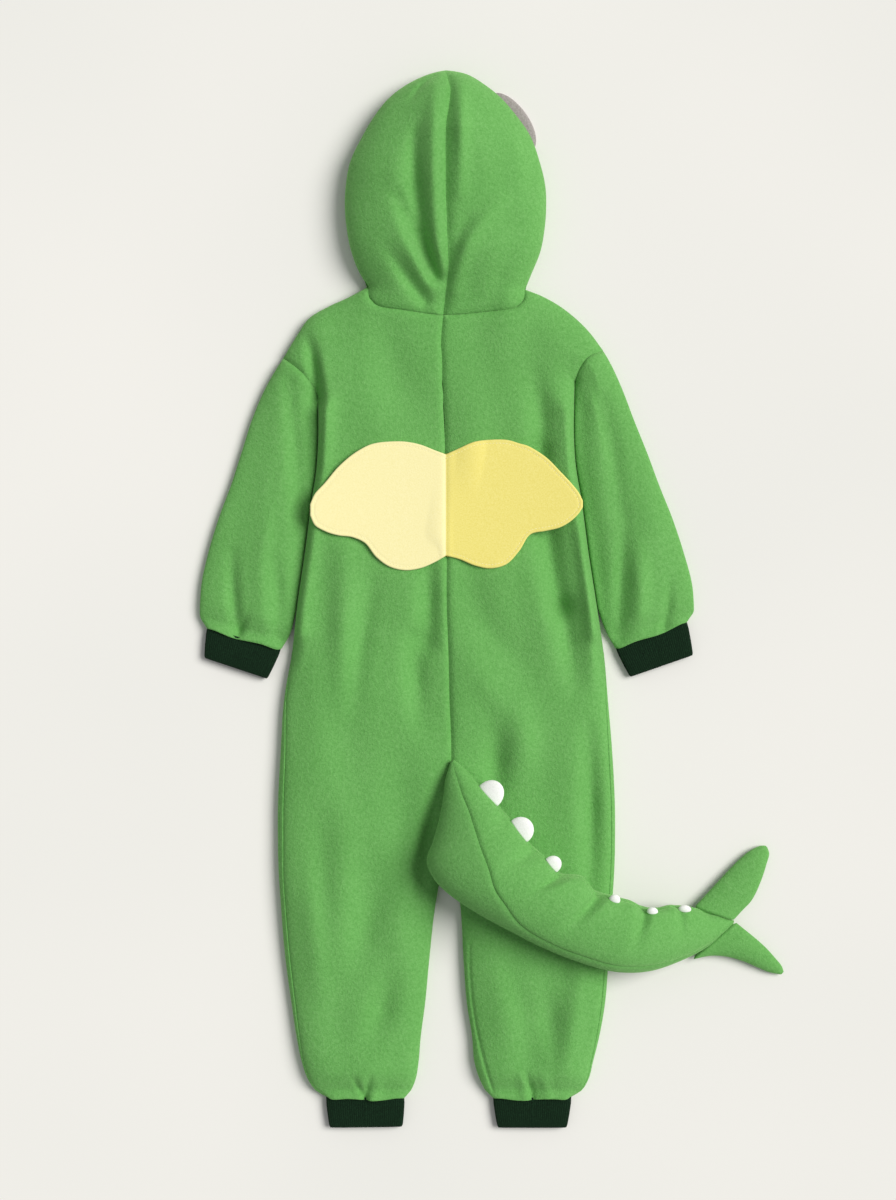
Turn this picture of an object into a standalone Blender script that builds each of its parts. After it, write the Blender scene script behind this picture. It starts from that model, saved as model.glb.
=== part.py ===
"""A child's fleece dragon onesie, laid flat with its back up.

Every length is in millimetres until a mesh is made. Before the last step x runs to the
right, y to the hood and z up, with the origin on the surface below the nape. The garment
is one height field over its plan: the cloth rises from its outline in a quarter ellipse
to a soft crown, and turns under to lie flat. Panels are stretches of that field, so that
they meet at their seams. The tail, its fins, the cuffs and the small pieces are rings.
"""
import bpy
import bmesh
import numpy as np

MM = 0.001

# Cloth and seams
CLOTH = 2.0            # fleece wall
FELT = 3.0             # wing felt
RIB = 2.4              # cuff, two layers of rib sewn as one
SEAM = 0.3             # gap that two sewn pieces keep
CREASE = 1.0           # gap between the body's side and the sleeve beside it
ARMHOLE_GAP = 0.35     # how far each side of the armhole seam lies from its line

# Grid columns of the panels: distances in from an edge, and how many even ones between
FROM_MIDDLE, FROM_EDGE, BACK_EVEN = [0.0, 3.0, 12.0], [0.0, 4.0, 13.0], 8
UNDER_EDGE, UNDER_EVEN = [0.0, 3.0, 12.0], 1
SLEEVE_EVEN = 4
FULL_WIDTH = 60.0      # a row narrower than this shrinks those distances with it

# How high the laid cloth stands
BODY_TALL, HOOD_TALL, HEM_TALL = 24.0, 50.0, 11.0
BODY_WIDEST, HOOD_WIDEST, HEM_WIDEST = 8.0, 16.0, 5.0      # height of the outline
BODY_REACH, HOOD_REACH, HEM_REACH = 42.0, 68.0, 9.0        # plan width of the rounding above it
BODY_TUCK, HOOD_TUCK, HEM_TUCK = 12.0, 20.0, 5.0           # plan width of the rounding below it
HEM_EASE = 30.0        # length over which a leg or sleeve swells from its cuff
FOLD_AT_HEM = 0.5      # share of a fold's height that is left at a cuff
HOOD_FROM, HOOD_EASE = -5.0, 85.0      # where the hood starts to rise, and over what length
NECK_FADE, HOOD_NECK_FADE = 50.0, 60.0 # how far from the neck seam its dip dies out

# Front opening
ZIP_HALF = 3.2         # half the gap between the fronts
ZIP_TOP, ZIP_END = -28.0, -478.0
ZIP_LIFT = 6.5         # how far the cloth stands over the slider
ZIP_CLOSING, ZIP_CLOSING_EASE = 40.0, 30.0     # where the gap narrows to a seam above its end
TAPE_HALF, TAPE_GAP, TAPE_THICK = 12.0, 1.3, 0.8
TAPE_HUMP_END, TAPE_FLAT = -104.0, -150.0      # the tape bends over the slider above these
CHAIN_SLACK, CHAIN_LOW = 0.4, 0.4              # room beside the chain and below it
NECK_DROP_END = -90.0  # below this the front's rows lie under the back's

# Each body row runs from the middle to the edge. seam is how far in from the edge the
# side seam shows on the back, steps is the number of grid steps to the next row.
BODY_COLUMNS = "edge_x edge_y mid_x mid_y seam steps"
BODY_LEFT = [
    (-86, 32, -3, 0, 0, 1),
    (-106, 21, -4, -12, 0, 1),
    (-128, 11, -5, -24, 0, 1),
    (-150, -2, -5, -36, 0, 1),
    (-165, -23, -4, -50, 0, 1),
    (-179, -46, -4, -64, 0, 1),
    (-161, -60, -4, -76, 0, 1),
    (-146, -77, -3, -88, 0, 1),
    (-141, -90, -3, -100, 0, 2),
    (-141, -136, -1, -142, 0, 1),
    (-143, -169, -1, -172, 0, 1),
    (-148, -202, 0, -204, 0, 2),
    (-156, -263, 1, -264, 0, 2),
    (-164, -318, 1, -318, 0, 2),
    (-170, -373, 3, -373, 0, 2),
    (-178, -420, 4, -420, 2, 2),
    (-182, -480, 6, -480, 5, 2),
    (-185, -540, 4, -535, 6, 2),
    (-185, -590, 3, -587, 6, 1),
    (-184, -615, -5, -614, 5, 1),
    (-182, -645, -11, -645, 5, 2),
    (-177, -705, -18, -705, 5, 2),
    (-170, -757, -23, -757, 4, 1),
    (-164, -796, -28, -796, 3, 1),
    (-159, -820, -30, -820, 2, 1),
    (-151, -842, -34, -842, 2, 1),
    (-143, -853, -39, -853, 2, 1),
    (-133, -859, -45, -859, 2, 1),
]
BODY_RIGHT = [
    (87, 29, -3, 0, 0, 1),
    (105, 22, -4, -12, 0, 1),
    (125, 11, -5, -24, 0, 1),
    (142, -2, -5, -36, 0, 1),
    (158, -18, -4, -50, 0, 1),
    (173, -38, -4, -60, 0, 1),
    (156, -46, -4, -70, 0, 1),
    (146, -60, -3, -80, 0, 1),
    (142, -72, -3, -90, 0, 2),
    (141, -130, -1, -134, 0, 1),
    (143, -164, -1, -166, 0, 1),
    (149, -200, 0, -202, 0, 2),
    (157, -260, 1, -262, 0, 2),
    (166, -318, 1, -318, 0, 2),
    (174, -373, 3, -373, 0, 2),
    (178, -420, 4, -420, 2, 2),
    (183, -480, 6, -480, 4, 2),
    (186, -540, 4, -535, 4, 2),
    (186, -590, 3, -587, 4, 1),
    (185, -615, 9, -614, 4, 1),
    (183, -645, 15, -645, 4, 2),
    (179, -705, 19, -705, 4, 2),
    (175, -757, 23, -757, 4, 1),
    (168, -796, 29, -796, 3, 1),
    (162, -820, 31, -820, 2, 1),
    (156, -842, 38, -842, 2, 1),
    (149, -853, 44, -853, 2, 1),
    (139, -859, 51, -859, 2, 1),
]
SHOULDER_TIP, ARMHOLE_END, SLEEVE_CLEAR, CROTCH = 5, 8, 14, 18   # rows of the body tables

# The sleeve's outer edge, and where its row meets the body's side
SLEEVE_COLUMNS = "edge_x edge_y side_y"
SLEEVE_LEFT = [
    (-179, -46, -90),
    (-186, -57, -98),
    (-198, -78, -112),
    (-212, -110, -136),
    (-225, -150, -166),
    (-237, -187, -200),
    (-250, -222, -233),
    (-261, -258, -266),
    (-269, -294, -298),
    (-271, -318, -324),
]
SLEEVE_RIGHT = [
    (173, -38, -72),
    (181, -52, -84),
    (193, -78, -104),
    (206, -112, -132),
    (222, -152, -164),
    (235, -187, -196),
    (249, -222, -230),
    (261, -258, -262),
    (271, -296, -296),
    (273, -318, -322),
]
# The last rows of a sleeve draw in to its cuff: outer and inner end
SLEEVE_ENDS_LEFT = [((-270, -333), (-172, -351)), ((-264, -342), (-181, -366))]
SLEEVE_ENDS_RIGHT = [((272, -327), (177, -349)), ((266, -335), (186, -365))]

# Hood rows, from the neck up to the crown: seam on the back, outline, face opening
HOOD_COLUMNS = "seam_x seam_y left_x left_y right_x right_y face_x face_y"
HOOD = [
    (-3, 0, -86, 32, 87, 29, 3.2, -28),
    (0, 24, -96, 49, 94, 46, 14, -10),
    (3, 50, -104, 70, 103, 68, 30, 8),
    (2, 78, -109, 95, 108, 93, 48, 38),
    (1, 106, -111, 119, 110, 118, 57, 72),
    (0, 134, -110, 143, 109, 142, 60, 104),
    (0, 162, -105, 169, 103, 168, 57, 130),
    (0, 186, -92, 196, 92, 198, 50, 152),
    (1, 208, -79, 218, 75, 222, 40, 168),
    (4, 228, -63, 238, 60, 239, 30, 179),
    (5, 244, -45, 252, 44, 252, 19, 186),
    (2, 258, -23, 263, 24, 264, 9, 190),
    (0, 270, 0, 270, 0, 270, 0, 191),
]
HOOD_MIDDLE = (0, 130)

# How far the neck seam dips below a straight row: fraction of the row, dip on back and front
NECK_DIP = [(0, 0, 0), (0.2, -5, -10), (0.5, -11, -17), (0.8, -17, -15), (0.95, -14, -6), (1, 0, 0)]

# Folds: start, end, width and height (a trough is negative)
FOLDS = [
    (-29, 212, -12, 40, 9, -10),
    (-12, 235, -7, 60, 7, 4),
    (-51, 122, -20, 55, 12, -7),
    (-78, 88, -34, 28, 10, -6),
    (59, 139, 20, 42, 15, 6),
    (24, 90, 8, 30, 8, -6),
    (78, 214, 96, 155, 10, -5),
    (-150, -26, -142, -84, 7, -9),
    (98, -70, 104, -150, 14, -6),
    (109, -250, 126, -320, 13, -8),
    (126, -320, 140, -405, 12, -6),
    (152, -240, 163, -390, 10, 4),
    (-18, -270, -18, -356, 13, -6),
    (-34, -360, -30, -450, 13, -5),
    (-111, -268, -112, -420, 15, 4),
    (-84, -300, -100, -420, 12, -4),
    (54, -455, 54, -520, 12, -5),
    (156, -466, 158, -620, 11, -7),
    (84, -430, 84, -490, 14, 3),
    (-6, -520, -24, -625, 9, -6),
    (-60, -720, -84, -790, 14, -4),
    (-110, -560, -112, -700, 18, 3),
    (110, -740, 120, -810, 14, -4),
    (-235, -262, -229, -345, 8, -6),
    (-190, -262, -186, -345, 9, -5),
    (197, -224, 190, -345, 9, -6),
    (246, -300, 240, -338, 6, -4),
    (-101, -836, -92, -857, 5, -3),
    (89, -828, 96, -856, 5, -3),
]

# Ears: centre, turn in degrees, half length and depth, and share of that at each height
EAR_RIGHT, EAR_LEFT = (72.8, 214.4), (-56, 205)
EAR_RIGHT_TURN, EAR_LEFT_TURN = -54.0, 50.0
EAR_LONG, EAR_DEEP, EAR_CLEAR = 38.0, 18.0, 0.7
EAR_RINGS = [(0.93, 0.0), (1.0, 2.0), (0.97, 4.2), (0.8, 5.6), (0.4, 6.2)]

# Lifts of the cloth that lies below, over what is tucked under it: x, y, radius, height
LIFTS = [
    (0, -56, 30, ZIP_LIFT),
    (EAR_LEFT[0], EAR_LEFT[1], 40, 7.2),
    (EAR_RIGHT[0], EAR_RIGHT[1], 36, 6.0),
]
LIFT_FLAT, LIFT_EASE = 0.55, 0.9       # share of the radius that is flat, and that eases off

# Wings: x, upper edge and lower edge
WING_COLUMNS = "x high low"
WINGS = [
    (-148.5, -208, -220),
    (-143, -196, -231),
    (-133, -185, -237),
    (-117, -166, -242),
    (-102, -153, -244),
    (-89, -145, -250),
    (-76, -140.5, -266),
    (-62, -139, -276),
    (-45, -139, -280),
    (-29, -142, -278),
    (-12, -148.5, -271),
    (0, -153, -264),
    (15, -146, -268),
    (32, -139, -275),
    (48, -137, -278),
    (65, -137, -274),
    (80, -141, -259),
    (92, -145, -241),
    (109, -156, -237),
    (125, -172, -233),
    (138, -186, -225),
    (145, -195, -218),
    (149.5, -204, -211),
]
WING_RAISE = 6.0       # how far the tips stand above the crown
WING_SPAN, WING_CURVE = 150.0, 1.8     # half the span, and the power by which the tips rise
WING_ON_BACK = 135.0   # within this the felt follows the folds that it lies on
WING_SHARES = [0.0, 0.06, 0.22, 0.5, 0.78, 0.94, 1.0]  # grid points from the upper edge down
FELT_EDGE = 0.7        # how much thinner each face is at the felt's edge

# Tail rows: lower edge, spine edge, height of its underside, thickness, and the share of
# the width at which the belly seam shows
TAIL_COLUMNS = "low_x low_y spine_x spine_y under thick seam"
TAIL = [
    (5, -489, 9, -487, 24.5, 6, 0.50),
    (0, -505, 20, -496, 24.5, 14, 0.52),
    (-3, -527, 36, -513, 24.5, 25, 0.50),
    (-7, -549, 54, -532, 24.5, 36, 0.52),
    (-14, -574, 71, -550, 24.5, 46, 0.54),
    (-21, -596, 89, -573, 24.5, 54, 0.55),
    (-14, -614, 106, -589, 24.5, 58, 0.50),
    (6, -634, 124, -608, 24.5, 60, 0.39),
    (35, -653, 145, -612, 24.5, 60, 0.26),
    (68, -671, 162, -627, 24.5, 58, 0.14),
    (103, -689, 183, -634, 24.5, 54, 0.10),
    (142, -705, 205, -642, 24.5, 50, 0.10),
    (183, -717, 227, -648, 19.0, 48, 0.10),
    (222, -718, 252, -646, 9.0, 46, 0.10),
    (257, -708, 273, -650, 3.0, 38, 0.07),
    (288, -693, 293, -656, 1.5, 26, 0.05),
    (306, -679, 308, -662, 2.0, 15, 0.05),
    (316, -669, 317, -665, 3.5, 8, 0.05),
]
TAIL_SPINE_TURN, TAIL_UNDER_TURN = 170.0, 332.0    # ring angles of the hidden seams, degrees
TAIL_FULL = 0.9        # power of the ring's cosine: lower is squarer
TAIL_OVER, TAIL_BELOW, TAIL_WIDEST = 0.9, 0.6, 0.42    # powers of its sine, height of its widest
TAIL_THIN = 14.0       # where the tail is thinner than this, so is its wall
TAIL_SIDE_POINTS, TAIL_BELLY_POINTS = 8, 6
TAIL_ROW_STEP, TAIL_TURN_STEP = 0.2, 3.0       # steps of the differences that give its normals

# Fins: the two edges of each row, height of the middle and thickness
FIN_POINTS, FIN_SQUARE = 14, 0.85
FIN_COLUMNS = "a_x a_y b_x b_y middle thick"
FIN_UPPER = [
    (274, -648.8, 316.5, -663.8, 12, 12),
    (290, -632, 325, -655, 10, 14),
    (307, -614, 337, -642, 9, 14),
    (323, -598, 347, -621, 8, 13),
    (337, -587, 353, -603, 7, 11),
    (347, -583, 356, -591, 5.5, 8),
    (352, -583, 354, -585, 5, 3),
]
FIN_LOWER = [
    (319.5, -667.5, 272.5, -707.5, 10, 12),
    (330, -676, 291, -704, 9, 14),
    (341, -685, 309, -705, 8.5, 14),
    (352, -695, 327, -710, 8, 13),
    (362, -706, 343, -717, 7, 11),
    (370, -716, 358, -723, 5.5, 8),
    (372, -722, 369, -725, 5, 3),
]

# Spikes: tail row, ring angle, half length, how far it stands out, half thickness
SPIKE_CLEAR, SPIKE_POINTS, SPIKE_ROW_STEP = 0.4, 12, 0.15
SPIKE_CLIMB = [0.0, 30.0, 58.0, 78.0]  # degrees from its foot to its top
SPIKES = [
    (2.62, 172, 17, 15, 5.0),
    (4.55, 172, 15, 14, 5.0),
    (6.50, 172, 9.5, 11, 4.5),
    (9.95, 152, 7, 5, 4.0),
    (11.95, 150, 6.5, 4.5, 4.0),
    (13.45, 150, 7.5, 4.5, 4.0),
]

# Cuffs: the two ends of the seam, then the two ends of the free edge
CUFFS = {
    "cuff_wrist_left": [(-263, -342.5), (-182, -366.5), (-266, -376), (-197, -399)],
    "cuff_wrist_right": [(187, -365.5), (265, -335.5), (203, -397), (272, -373)],
    "cuff_ankle_left": [(-132, -859.4), (-46, -859.4), (-128, -893), (-48, -892)],
    "cuff_ankle_right": [(52, -859.4), (138, -859.4), (57, -893), (133, -893)],
}

# Rings of a cuff from its seam down: share of its length, swell of its ends, top above the
# hem's height, and height of its underside
CUFF_COLUMNS = "share swell high low"
CUFF_RINGS = [
    (0.0, 0.0, 0.0, 0.3),
    (0.2, 0.8, 0.6, 0.0),
    (0.6, 0.8, 0.6, 0.0),
    (0.93, 0.4, 0.2, 0.0),
    (1.0, -0.6, -0.6, 0.6),
]
CUFF_POINTS, CUFF_SQUARE = 20, 0.45

# Slider and pull tab of the zip
SLIDER_Y, SLIDER_LONG, SLIDER_WIDE, SLIDER_THICK = -46.0, 11.0, 8.4, 1.6
LUG_DEEP, PIVOT_Z = 2.0, 3.5
# Slider: share of half its length, and share of the depth of its lugs there
SLIDER = [(-1.0, 0.2), (-0.42, 0.2), (-0.36, 1.0), (0.36, 1.0), (0.42, 0.2), (1.0, 0.2)]
PULL_NECK, PULL_THICK = 5.0, 1.2
# Pull tab: how far from its pivot, and half its width there
PULL = [(0.5, 2.0), (0.0, 2.5), (-7.0, 2.5), (-9.0, 3.5), (-22.5, 3.5), (-24.0, 2.0)]
PIVOTS = {"zip_pull": (0.0, SLIDER_Y, PIVOT_Z)}

WELD, SHARP_EDGE = 0.02, 50.0  # points this near become one, edges past this angle stay sharp

COLOURS = {
    "fleece": ((0.153, 0.402, 0.109), 0.95),
    "rib": ((0.014, 0.037, 0.016), 0.9),
    "wing_felt": ((0.93, 0.80, 0.30), 0.9),
    "white_felt": ((0.88, 0.91, 0.85), 0.9),
    "grey_felt": ((0.41, 0.38, 0.37), 0.9),
    "zip_tape": ((0.10, 0.26, 0.08), 0.7),
    "zip_metal": ((0.45, 0.45, 0.46), 0.35),
}


def columns(names, rows):
    """A table as named columns."""
    return dict(zip(names.split(), np.array(rows, dtype=float).T))


def refine(table):
    """The table with its even steps added between each row and the next."""
    last = len(table["steps"]) - 1
    stations = [i + k / steps for i, steps in enumerate(table["steps"][:-1]) for k in range(int(steps))]
    stations.append(last)
    return {name: np.interp(stations, range(last + 1), values) for name, values in table.items()}


def smooth(t):
    """A soft step from 0 to 1."""
    t = np.clip(t, 0.0, 1.0)
    return t * t * (3.0 - 2.0 * t)


def mix(a, b, t):
    return a + (b - a) * t


def pairs(table, x, y):
    return np.stack([table[x], table[y]], axis=-1)


BODY = {"left": columns(BODY_COLUMNS, BODY_LEFT), "right": columns(BODY_COLUMNS, BODY_RIGHT)}
SLEEVE = {"left": columns(SLEEVE_COLUMNS, SLEEVE_LEFT), "right": columns(SLEEVE_COLUMNS, SLEEVE_RIGHT)}
SLEEVE_ENDS = {"left": np.array(SLEEVE_ENDS_LEFT, float), "right": np.array(SLEEVE_ENDS_RIGHT, float)}
HOOD_TABLE = columns(HOOD_COLUMNS, HOOD)


def side_point(side, y):
    """The point of the body's side at height y, below the armhole."""
    body = BODY[side]
    rows = slice(ARMHOLE_END, None)
    x = np.interp(-np.asarray(y, float), -body["edge_y"][rows], body["edge_x"][rows])
    return np.stack([x, np.asarray(y, float)], axis=-1)


def sleeve_rows(side):
    """Outer and inner end of each sleeve row, from the armhole to the cuff."""
    table = SLEEVE[side]
    outer = pairs(table, "edge_x", "edge_y")
    inner = side_point(side, table["side_y"])
    ends = SLEEVE_ENDS[side]
    return np.concatenate([outer, ends[:, 0]]), np.concatenate([inner, ends[:, 1]])


def outline_segments():
    """Every line at which the cloth turns under, with half the gap kept to it."""
    found = []

    def add(points, gap=0.0):
        found.extend((a[0], a[1], b[0], b[1], gap) for a, b in zip(points[:-1], points[1:]))

    for side in ("left", "right"):
        edge = pairs(BODY[side], "edge_x", "edge_y")
        outer, inner = sleeve_rows(side)
        add(edge[:SHOULDER_TIP + 1])
        add(outer)
        add(inner[-3:], CREASE / 2)
        add(edge[ARMHOLE_END:SLEEVE_CLEAR + 1], CREASE / 2)
        add(edge[SLEEVE_CLEAR:])
        add(pairs(BODY[side], "mid_x", "mid_y")[CROTCH:])
        add(pairs(HOOD_TABLE, side + "_x", side + "_y"))
    return np.array(found)


def hem_segments():
    """The seams of the four cuffs."""
    return np.array([(*points[0], *points[1], 0.0) for points in CUFFS.values()])


SEGMENTS = outline_segments()
HEMS = hem_segments()


def nearest(xy, segments):
    """Distance from each point to the nearest segment, and the unit direction away from it."""
    start, along, gap = segments[:, :2], segments[:, 2:4] - segments[:, :2], segments[:, 4]
    to = xy[..., None, :] - start
    share = np.clip((to * along).sum(-1) / (along * along).sum(-1), 0.0, 1.0)
    away = to - share[..., None] * along
    far = np.maximum(np.linalg.norm(away, axis=-1), 1e-9)
    pick = np.argmin(far - gap, axis=-1)
    far_pick = np.take_along_axis(far, pick[..., None], -1)
    away_pick = np.take_along_axis(away, pick[..., None, None], -2)[..., 0, :]
    return np.maximum(far_pick[..., 0] - gap[pick], 0.0), away_pick / far_pick


def fold_height(xy):
    """The sum of the folds, each a soft ridge or trough about its line."""
    total = np.zeros(xy.shape[:-1])
    for x0, y0, x1, y1, width, height in FOLDS:
        far, _ = nearest(xy, np.array([(x0, y0, x1, y1, 0.0)]))
        total += height * np.exp(-(far / width) ** 2)
    return total


def profile(xy):
    """Crown, outline height, and the reach of the rounding above and below, at each point."""
    hood = smooth((xy[..., 1] - HOOD_FROM) / HOOD_EASE)
    hem = smooth(nearest(xy, HEMS)[0] / HEM_EASE)

    def blend(at_hem, on_body, on_hood):
        return mix(mix(at_hem, on_body, hem), on_hood, hood)

    tall = blend(HEM_TALL, BODY_TALL, HOOD_TALL) + fold_height(xy) * mix(FOLD_AT_HEM, 1.0, hem)
    return (tall, blend(HEM_WIDEST, BODY_WIDEST, HOOD_WIDEST),
            blend(HEM_REACH, BODY_REACH, HOOD_REACH), blend(HEM_TUCK, BODY_TUCK, HOOD_TUCK))


def lift(xy):
    """How far the lower cloth is lifted by what is tucked under it."""
    total = np.zeros(xy.shape[:-1])
    for x, y, radius, height in LIFTS:
        far = np.hypot(xy[..., 0] - x, xy[..., 1] - y)
        total = np.maximum(total, height * (1.0 - smooth((far / radius - LIFT_FLAT) / LIFT_EASE)))
    return total


def slope(field, xy):
    """Gradient of a field by central differences."""
    step = np.array([[0.5, 0.0], [0.0, 0.5]])
    return np.stack([field(xy + s) - field(xy - s) for s in step], axis=-1)


def cloth(xy, inward, top):
    """Points and outward normals of the upper or the lower cloth over the plan points xy.

    Above, z = widest + (tall - widest) * sin(a), where 1 - cos(a) is the distance from the
    outline over the reach. Below, z = widest * (1 - sin(a)) with the tuck as the reach.
    """
    d, _ = nearest(xy, SEGMENTS)
    nudge = inward / np.maximum(np.linalg.norm(inward, axis=-1, keepdims=True), 1e-9)
    _, away = nearest(xy + 0.05 * nudge, SEGMENTS)
    tall, widest, reach, tuck = profile(xy)
    over = np.clip(d / (reach if top else tuck), 0.0, 1.0)
    sine, cosine = np.sqrt(over * (2.0 - over)), 1.0 - over
    if top:
        z = widest + (tall - widest) * sine
        side = -((tall - widest) * cosine / reach)[..., None] * away
        side -= (sine ** 2)[..., None] * slope(lambda p: profile(p)[0], xy)
        normal = np.concatenate([side, sine[..., None]], axis=-1)
    else:
        z = widest * (1.0 - sine) + lift(xy) * sine
        side = -(widest * cosine / tuck)[..., None] * away
        side += sine[..., None] * slope(lift, xy)
        normal = np.concatenate([side, -sine[..., None]], axis=-1)
    normal /= np.linalg.norm(normal, axis=-1, keepdims=True)
    return np.concatenate([xy, z[..., None]], axis=-1), normal


def ring_normals(rings):
    """Outward normals of a stack of closed rings, by differences along and round it."""
    along = np.gradient(rings, axis=0)
    round_ = np.roll(rings, -1, axis=1) - np.roll(rings, 1, axis=1)
    normal = np.cross(round_, along)
    normal /= np.maximum(np.linalg.norm(normal, axis=-1, keepdims=True), 1e-9)
    centre = rings.mean(axis=1, keepdims=True)
    return -normal if ((rings - centre) * normal).sum() < 0 else normal


PIECES = {}


def keep(name, material, points, faces):
    """Stores a piece until the whole garment is placed."""
    PIECES[name] = (material, np.asarray(points, float).reshape(-1, 3), faces)


def grid_faces(rows, cols, first, closed, turned):
    """Quads of a grid of points whose numbers start at first."""
    faces = []
    for r in range(rows - 1):
        for c in range(cols if closed else cols - 1):
            n = (c + 1) % cols
            quad = [first + r * cols + c, first + r * cols + n,
                    first + (r + 1) * cols + n, first + (r + 1) * cols + c]
            faces.append(quad[::-1] if turned else quad)
    return faces


def wall(name, material, outer, normal, thick, closed=False):
    """A sheet of cloth: the outer grid, the same grid set in by the thickness, and its rims."""
    rows, cols = outer.shape[:2]
    inner = outer - thick * normal
    count = rows * cols
    faces = grid_faces(rows, cols, 0, closed, False) + grid_faces(rows, cols, count, closed, True)
    for r in (0, rows - 1):
        for c in range(cols if closed else cols - 1):
            a, b = r * cols + c, r * cols + (c + 1) % cols
            faces.append([a, a + count, b + count, b] if r == 0 else [b, b + count, a + count, a])
    if not closed:
        for c in (0, cols - 1):
            for r in range(rows - 1):
                a, b = r * cols + c, (r + 1) * cols + c
                faces.append([b, b + count, a + count, a] if c == 0 else [a, a + count, b + count, b])
    keep(name, material, np.concatenate([outer.reshape(-1, 3), inner.reshape(-1, 3)]), faces)


def solid_of_rings(name, material, rings):
    """A filled piece: a stack of closed rings with its two ends closed."""
    rows, cols = rings.shape[:2]
    faces = grid_faces(rows, cols, 0, True, False)
    faces.append(list(range(cols))[::-1])
    faces.append([(rows - 1) * cols + c for c in range(cols)])
    keep(name, material, rings, faces)


def row_points(start, end, offsets_start, middle, offsets_end, dip=None):
    """Plan points along each row: fixed offsets in mm from both ends, even steps between."""
    width = np.maximum(np.linalg.norm(end - start, axis=-1, keepdims=True), 1e-6)
    shrink = np.minimum(1.0, width / FULL_WIDTH)
    near = np.array(offsets_start) * shrink / width
    far = 1.0 - np.array(offsets_end)[::-1] * shrink / width
    steps = np.linspace(0.0, 1.0, middle + 2)[1:-1]
    between = near[:, -1:] + (far[:, :1] - near[:, -1:]) * steps
    share = np.concatenate([near, between, far], axis=1)
    points = start[:, None] + share[..., None] * (end - start)[:, None]
    if dip is not None:
        shares, depths, fade = dip
        points[..., 1] += np.interp(share, shares, depths) * fade[:, None]
    return points


def neck_dip(front, fade):
    """The dip of the neck seam, dying out over the rows next to it."""
    table = np.array(NECK_DIP)
    return table[:, 0], table[:, 2 if front else 1], fade


def trim(points, toward, gap):
    """Points moved by a gap toward others."""
    way = toward - points
    return points + way / np.linalg.norm(way, axis=-1, keepdims=True) * np.asarray(gap)[..., None]


def body_ends(side, front):
    """Middle and edge of each refined body row, how far in its side seam lies, and how
    far apart back and front keep at the edge and at the middle, above or below the seam."""
    table = refine(BODY[side])
    steps = BODY[side]["steps"]
    row = np.concatenate([[0], np.cumsum(steps[:-1])]).astype(int)
    index = np.arange(len(table["seam"]))
    mid, edge = pairs(table, "mid_x", "mid_y"), pairs(table, "edge_x", "edge_y")
    sign = -1.0 if side == "left" else 1.0
    if front:
        drop = np.clip(mid[:, 1] / NECK_DROP_END, 0.0, 1.0)
        mid[:, 1] += ZIP_TOP * (1.0 - drop)
        zipped = smooth((mid[:, 1] - ZIP_END + ZIP_CLOSING) / ZIP_CLOSING_EASE)
        mid[:, 0] = mix(mid[:, 0] + sign * SEAM / 2, sign * ZIP_HALF, zipped)
    else:
        mid[:, 0] += sign * SEAM / 2
    on_armhole = (index > row[SHOULDER_TIP]) & (index < row[ARMHOLE_END])
    on_crease = (index >= row[ARMHOLE_END]) & (index < row[SLEEVE_CLEAR])
    gap = np.where(on_armhole, ARMHOLE_GAP, np.where(on_crease, CREASE / 2, 0.0))
    edge = trim(edge, mid, gap)
    apart = SEAM / 2 * np.clip(1.0 - table["seam"] / 2.0, 0.0, 1.0) * ~on_armhole
    apart_mid = SEAM / 2 * (index >= row[CROTCH])
    return mid, edge, table["seam"], apart, apart_mid


def off_neck_seam(points):
    """The first row moved off the neck seam by half the gap, toward the second."""
    way = np.gradient(points[0], axis=0)
    across = np.stack([way[:, 1], -way[:, 0]], axis=-1)
    across /= np.linalg.norm(across, axis=-1, keepdims=True)
    below = points[1] - points[0]
    across *= np.sign((across * below).sum(-1, keepdims=True))
    points[0] += across * SEAM / 2
    return points


def back_panel(side):
    """Half of the back with its leg, from the centre seam to the side seam."""
    mid, edge, seam, apart, apart_mid = body_ends(side, False)
    fade = np.clip(1.0 + mid[:, 1] / NECK_FADE, 0.0, 1.0) ** 1.5
    seam_edge = trim(edge, mid, np.where(seam > 0, seam + SEAM / 2, 0.0))
    xy = row_points(mid, seam_edge, FROM_MIDDLE, BACK_EVEN, FROM_EDGE, neck_dip(False, fade))
    xy = off_neck_seam(xy)
    inward = ((mid + edge) / 2)[:, None] - xy
    points, normal = cloth(xy, inward, True)
    points[:, -1, 2] += apart
    points[:, 0, 2] += apart_mid
    wall("back_" + side, "fleece", points, normal, CLOTH)


def front_panel(side):
    """Half of the front with its leg, from the zip round the side to the side seam."""
    mid, edge, seam, apart, apart_mid = body_ends(side, True)
    fade = np.clip(1.0 + (mid[:, 1] - ZIP_TOP) / NECK_FADE, 0.0, 1.0) ** 1.5
    below = row_points(mid, edge, UNDER_EDGE, UNDER_EVEN, UNDER_EDGE, neck_dip(True, fade))
    below = off_neck_seam(below)
    inward = ((mid + edge) / 2)[:, None] - below
    points, normal = cloth(below, inward, False)
    points[:, -1, 2] -= apart
    points[:, 0, 2] -= apart_mid
    wrap_points, wrap_normals = [], []
    for share in (0.3, 1.0):
        xy = trim(edge, mid, np.maximum(seam - SEAM / 2, 0.0) * share)
        p, n = cloth(xy, mid - xy, True)
        p[:, 2] -= apart
        flat = seam <= 0.0
        p[flat], n[flat] = points[flat, -1], normal[flat, -1]
        wrap_points.append(p[:, None])
        wrap_normals.append(n[:, None])
    wall("front_" + side, "fleece", np.concatenate([points, *wrap_points], axis=1),
         np.concatenate([normal, *wrap_normals], axis=1), CLOTH)


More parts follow.
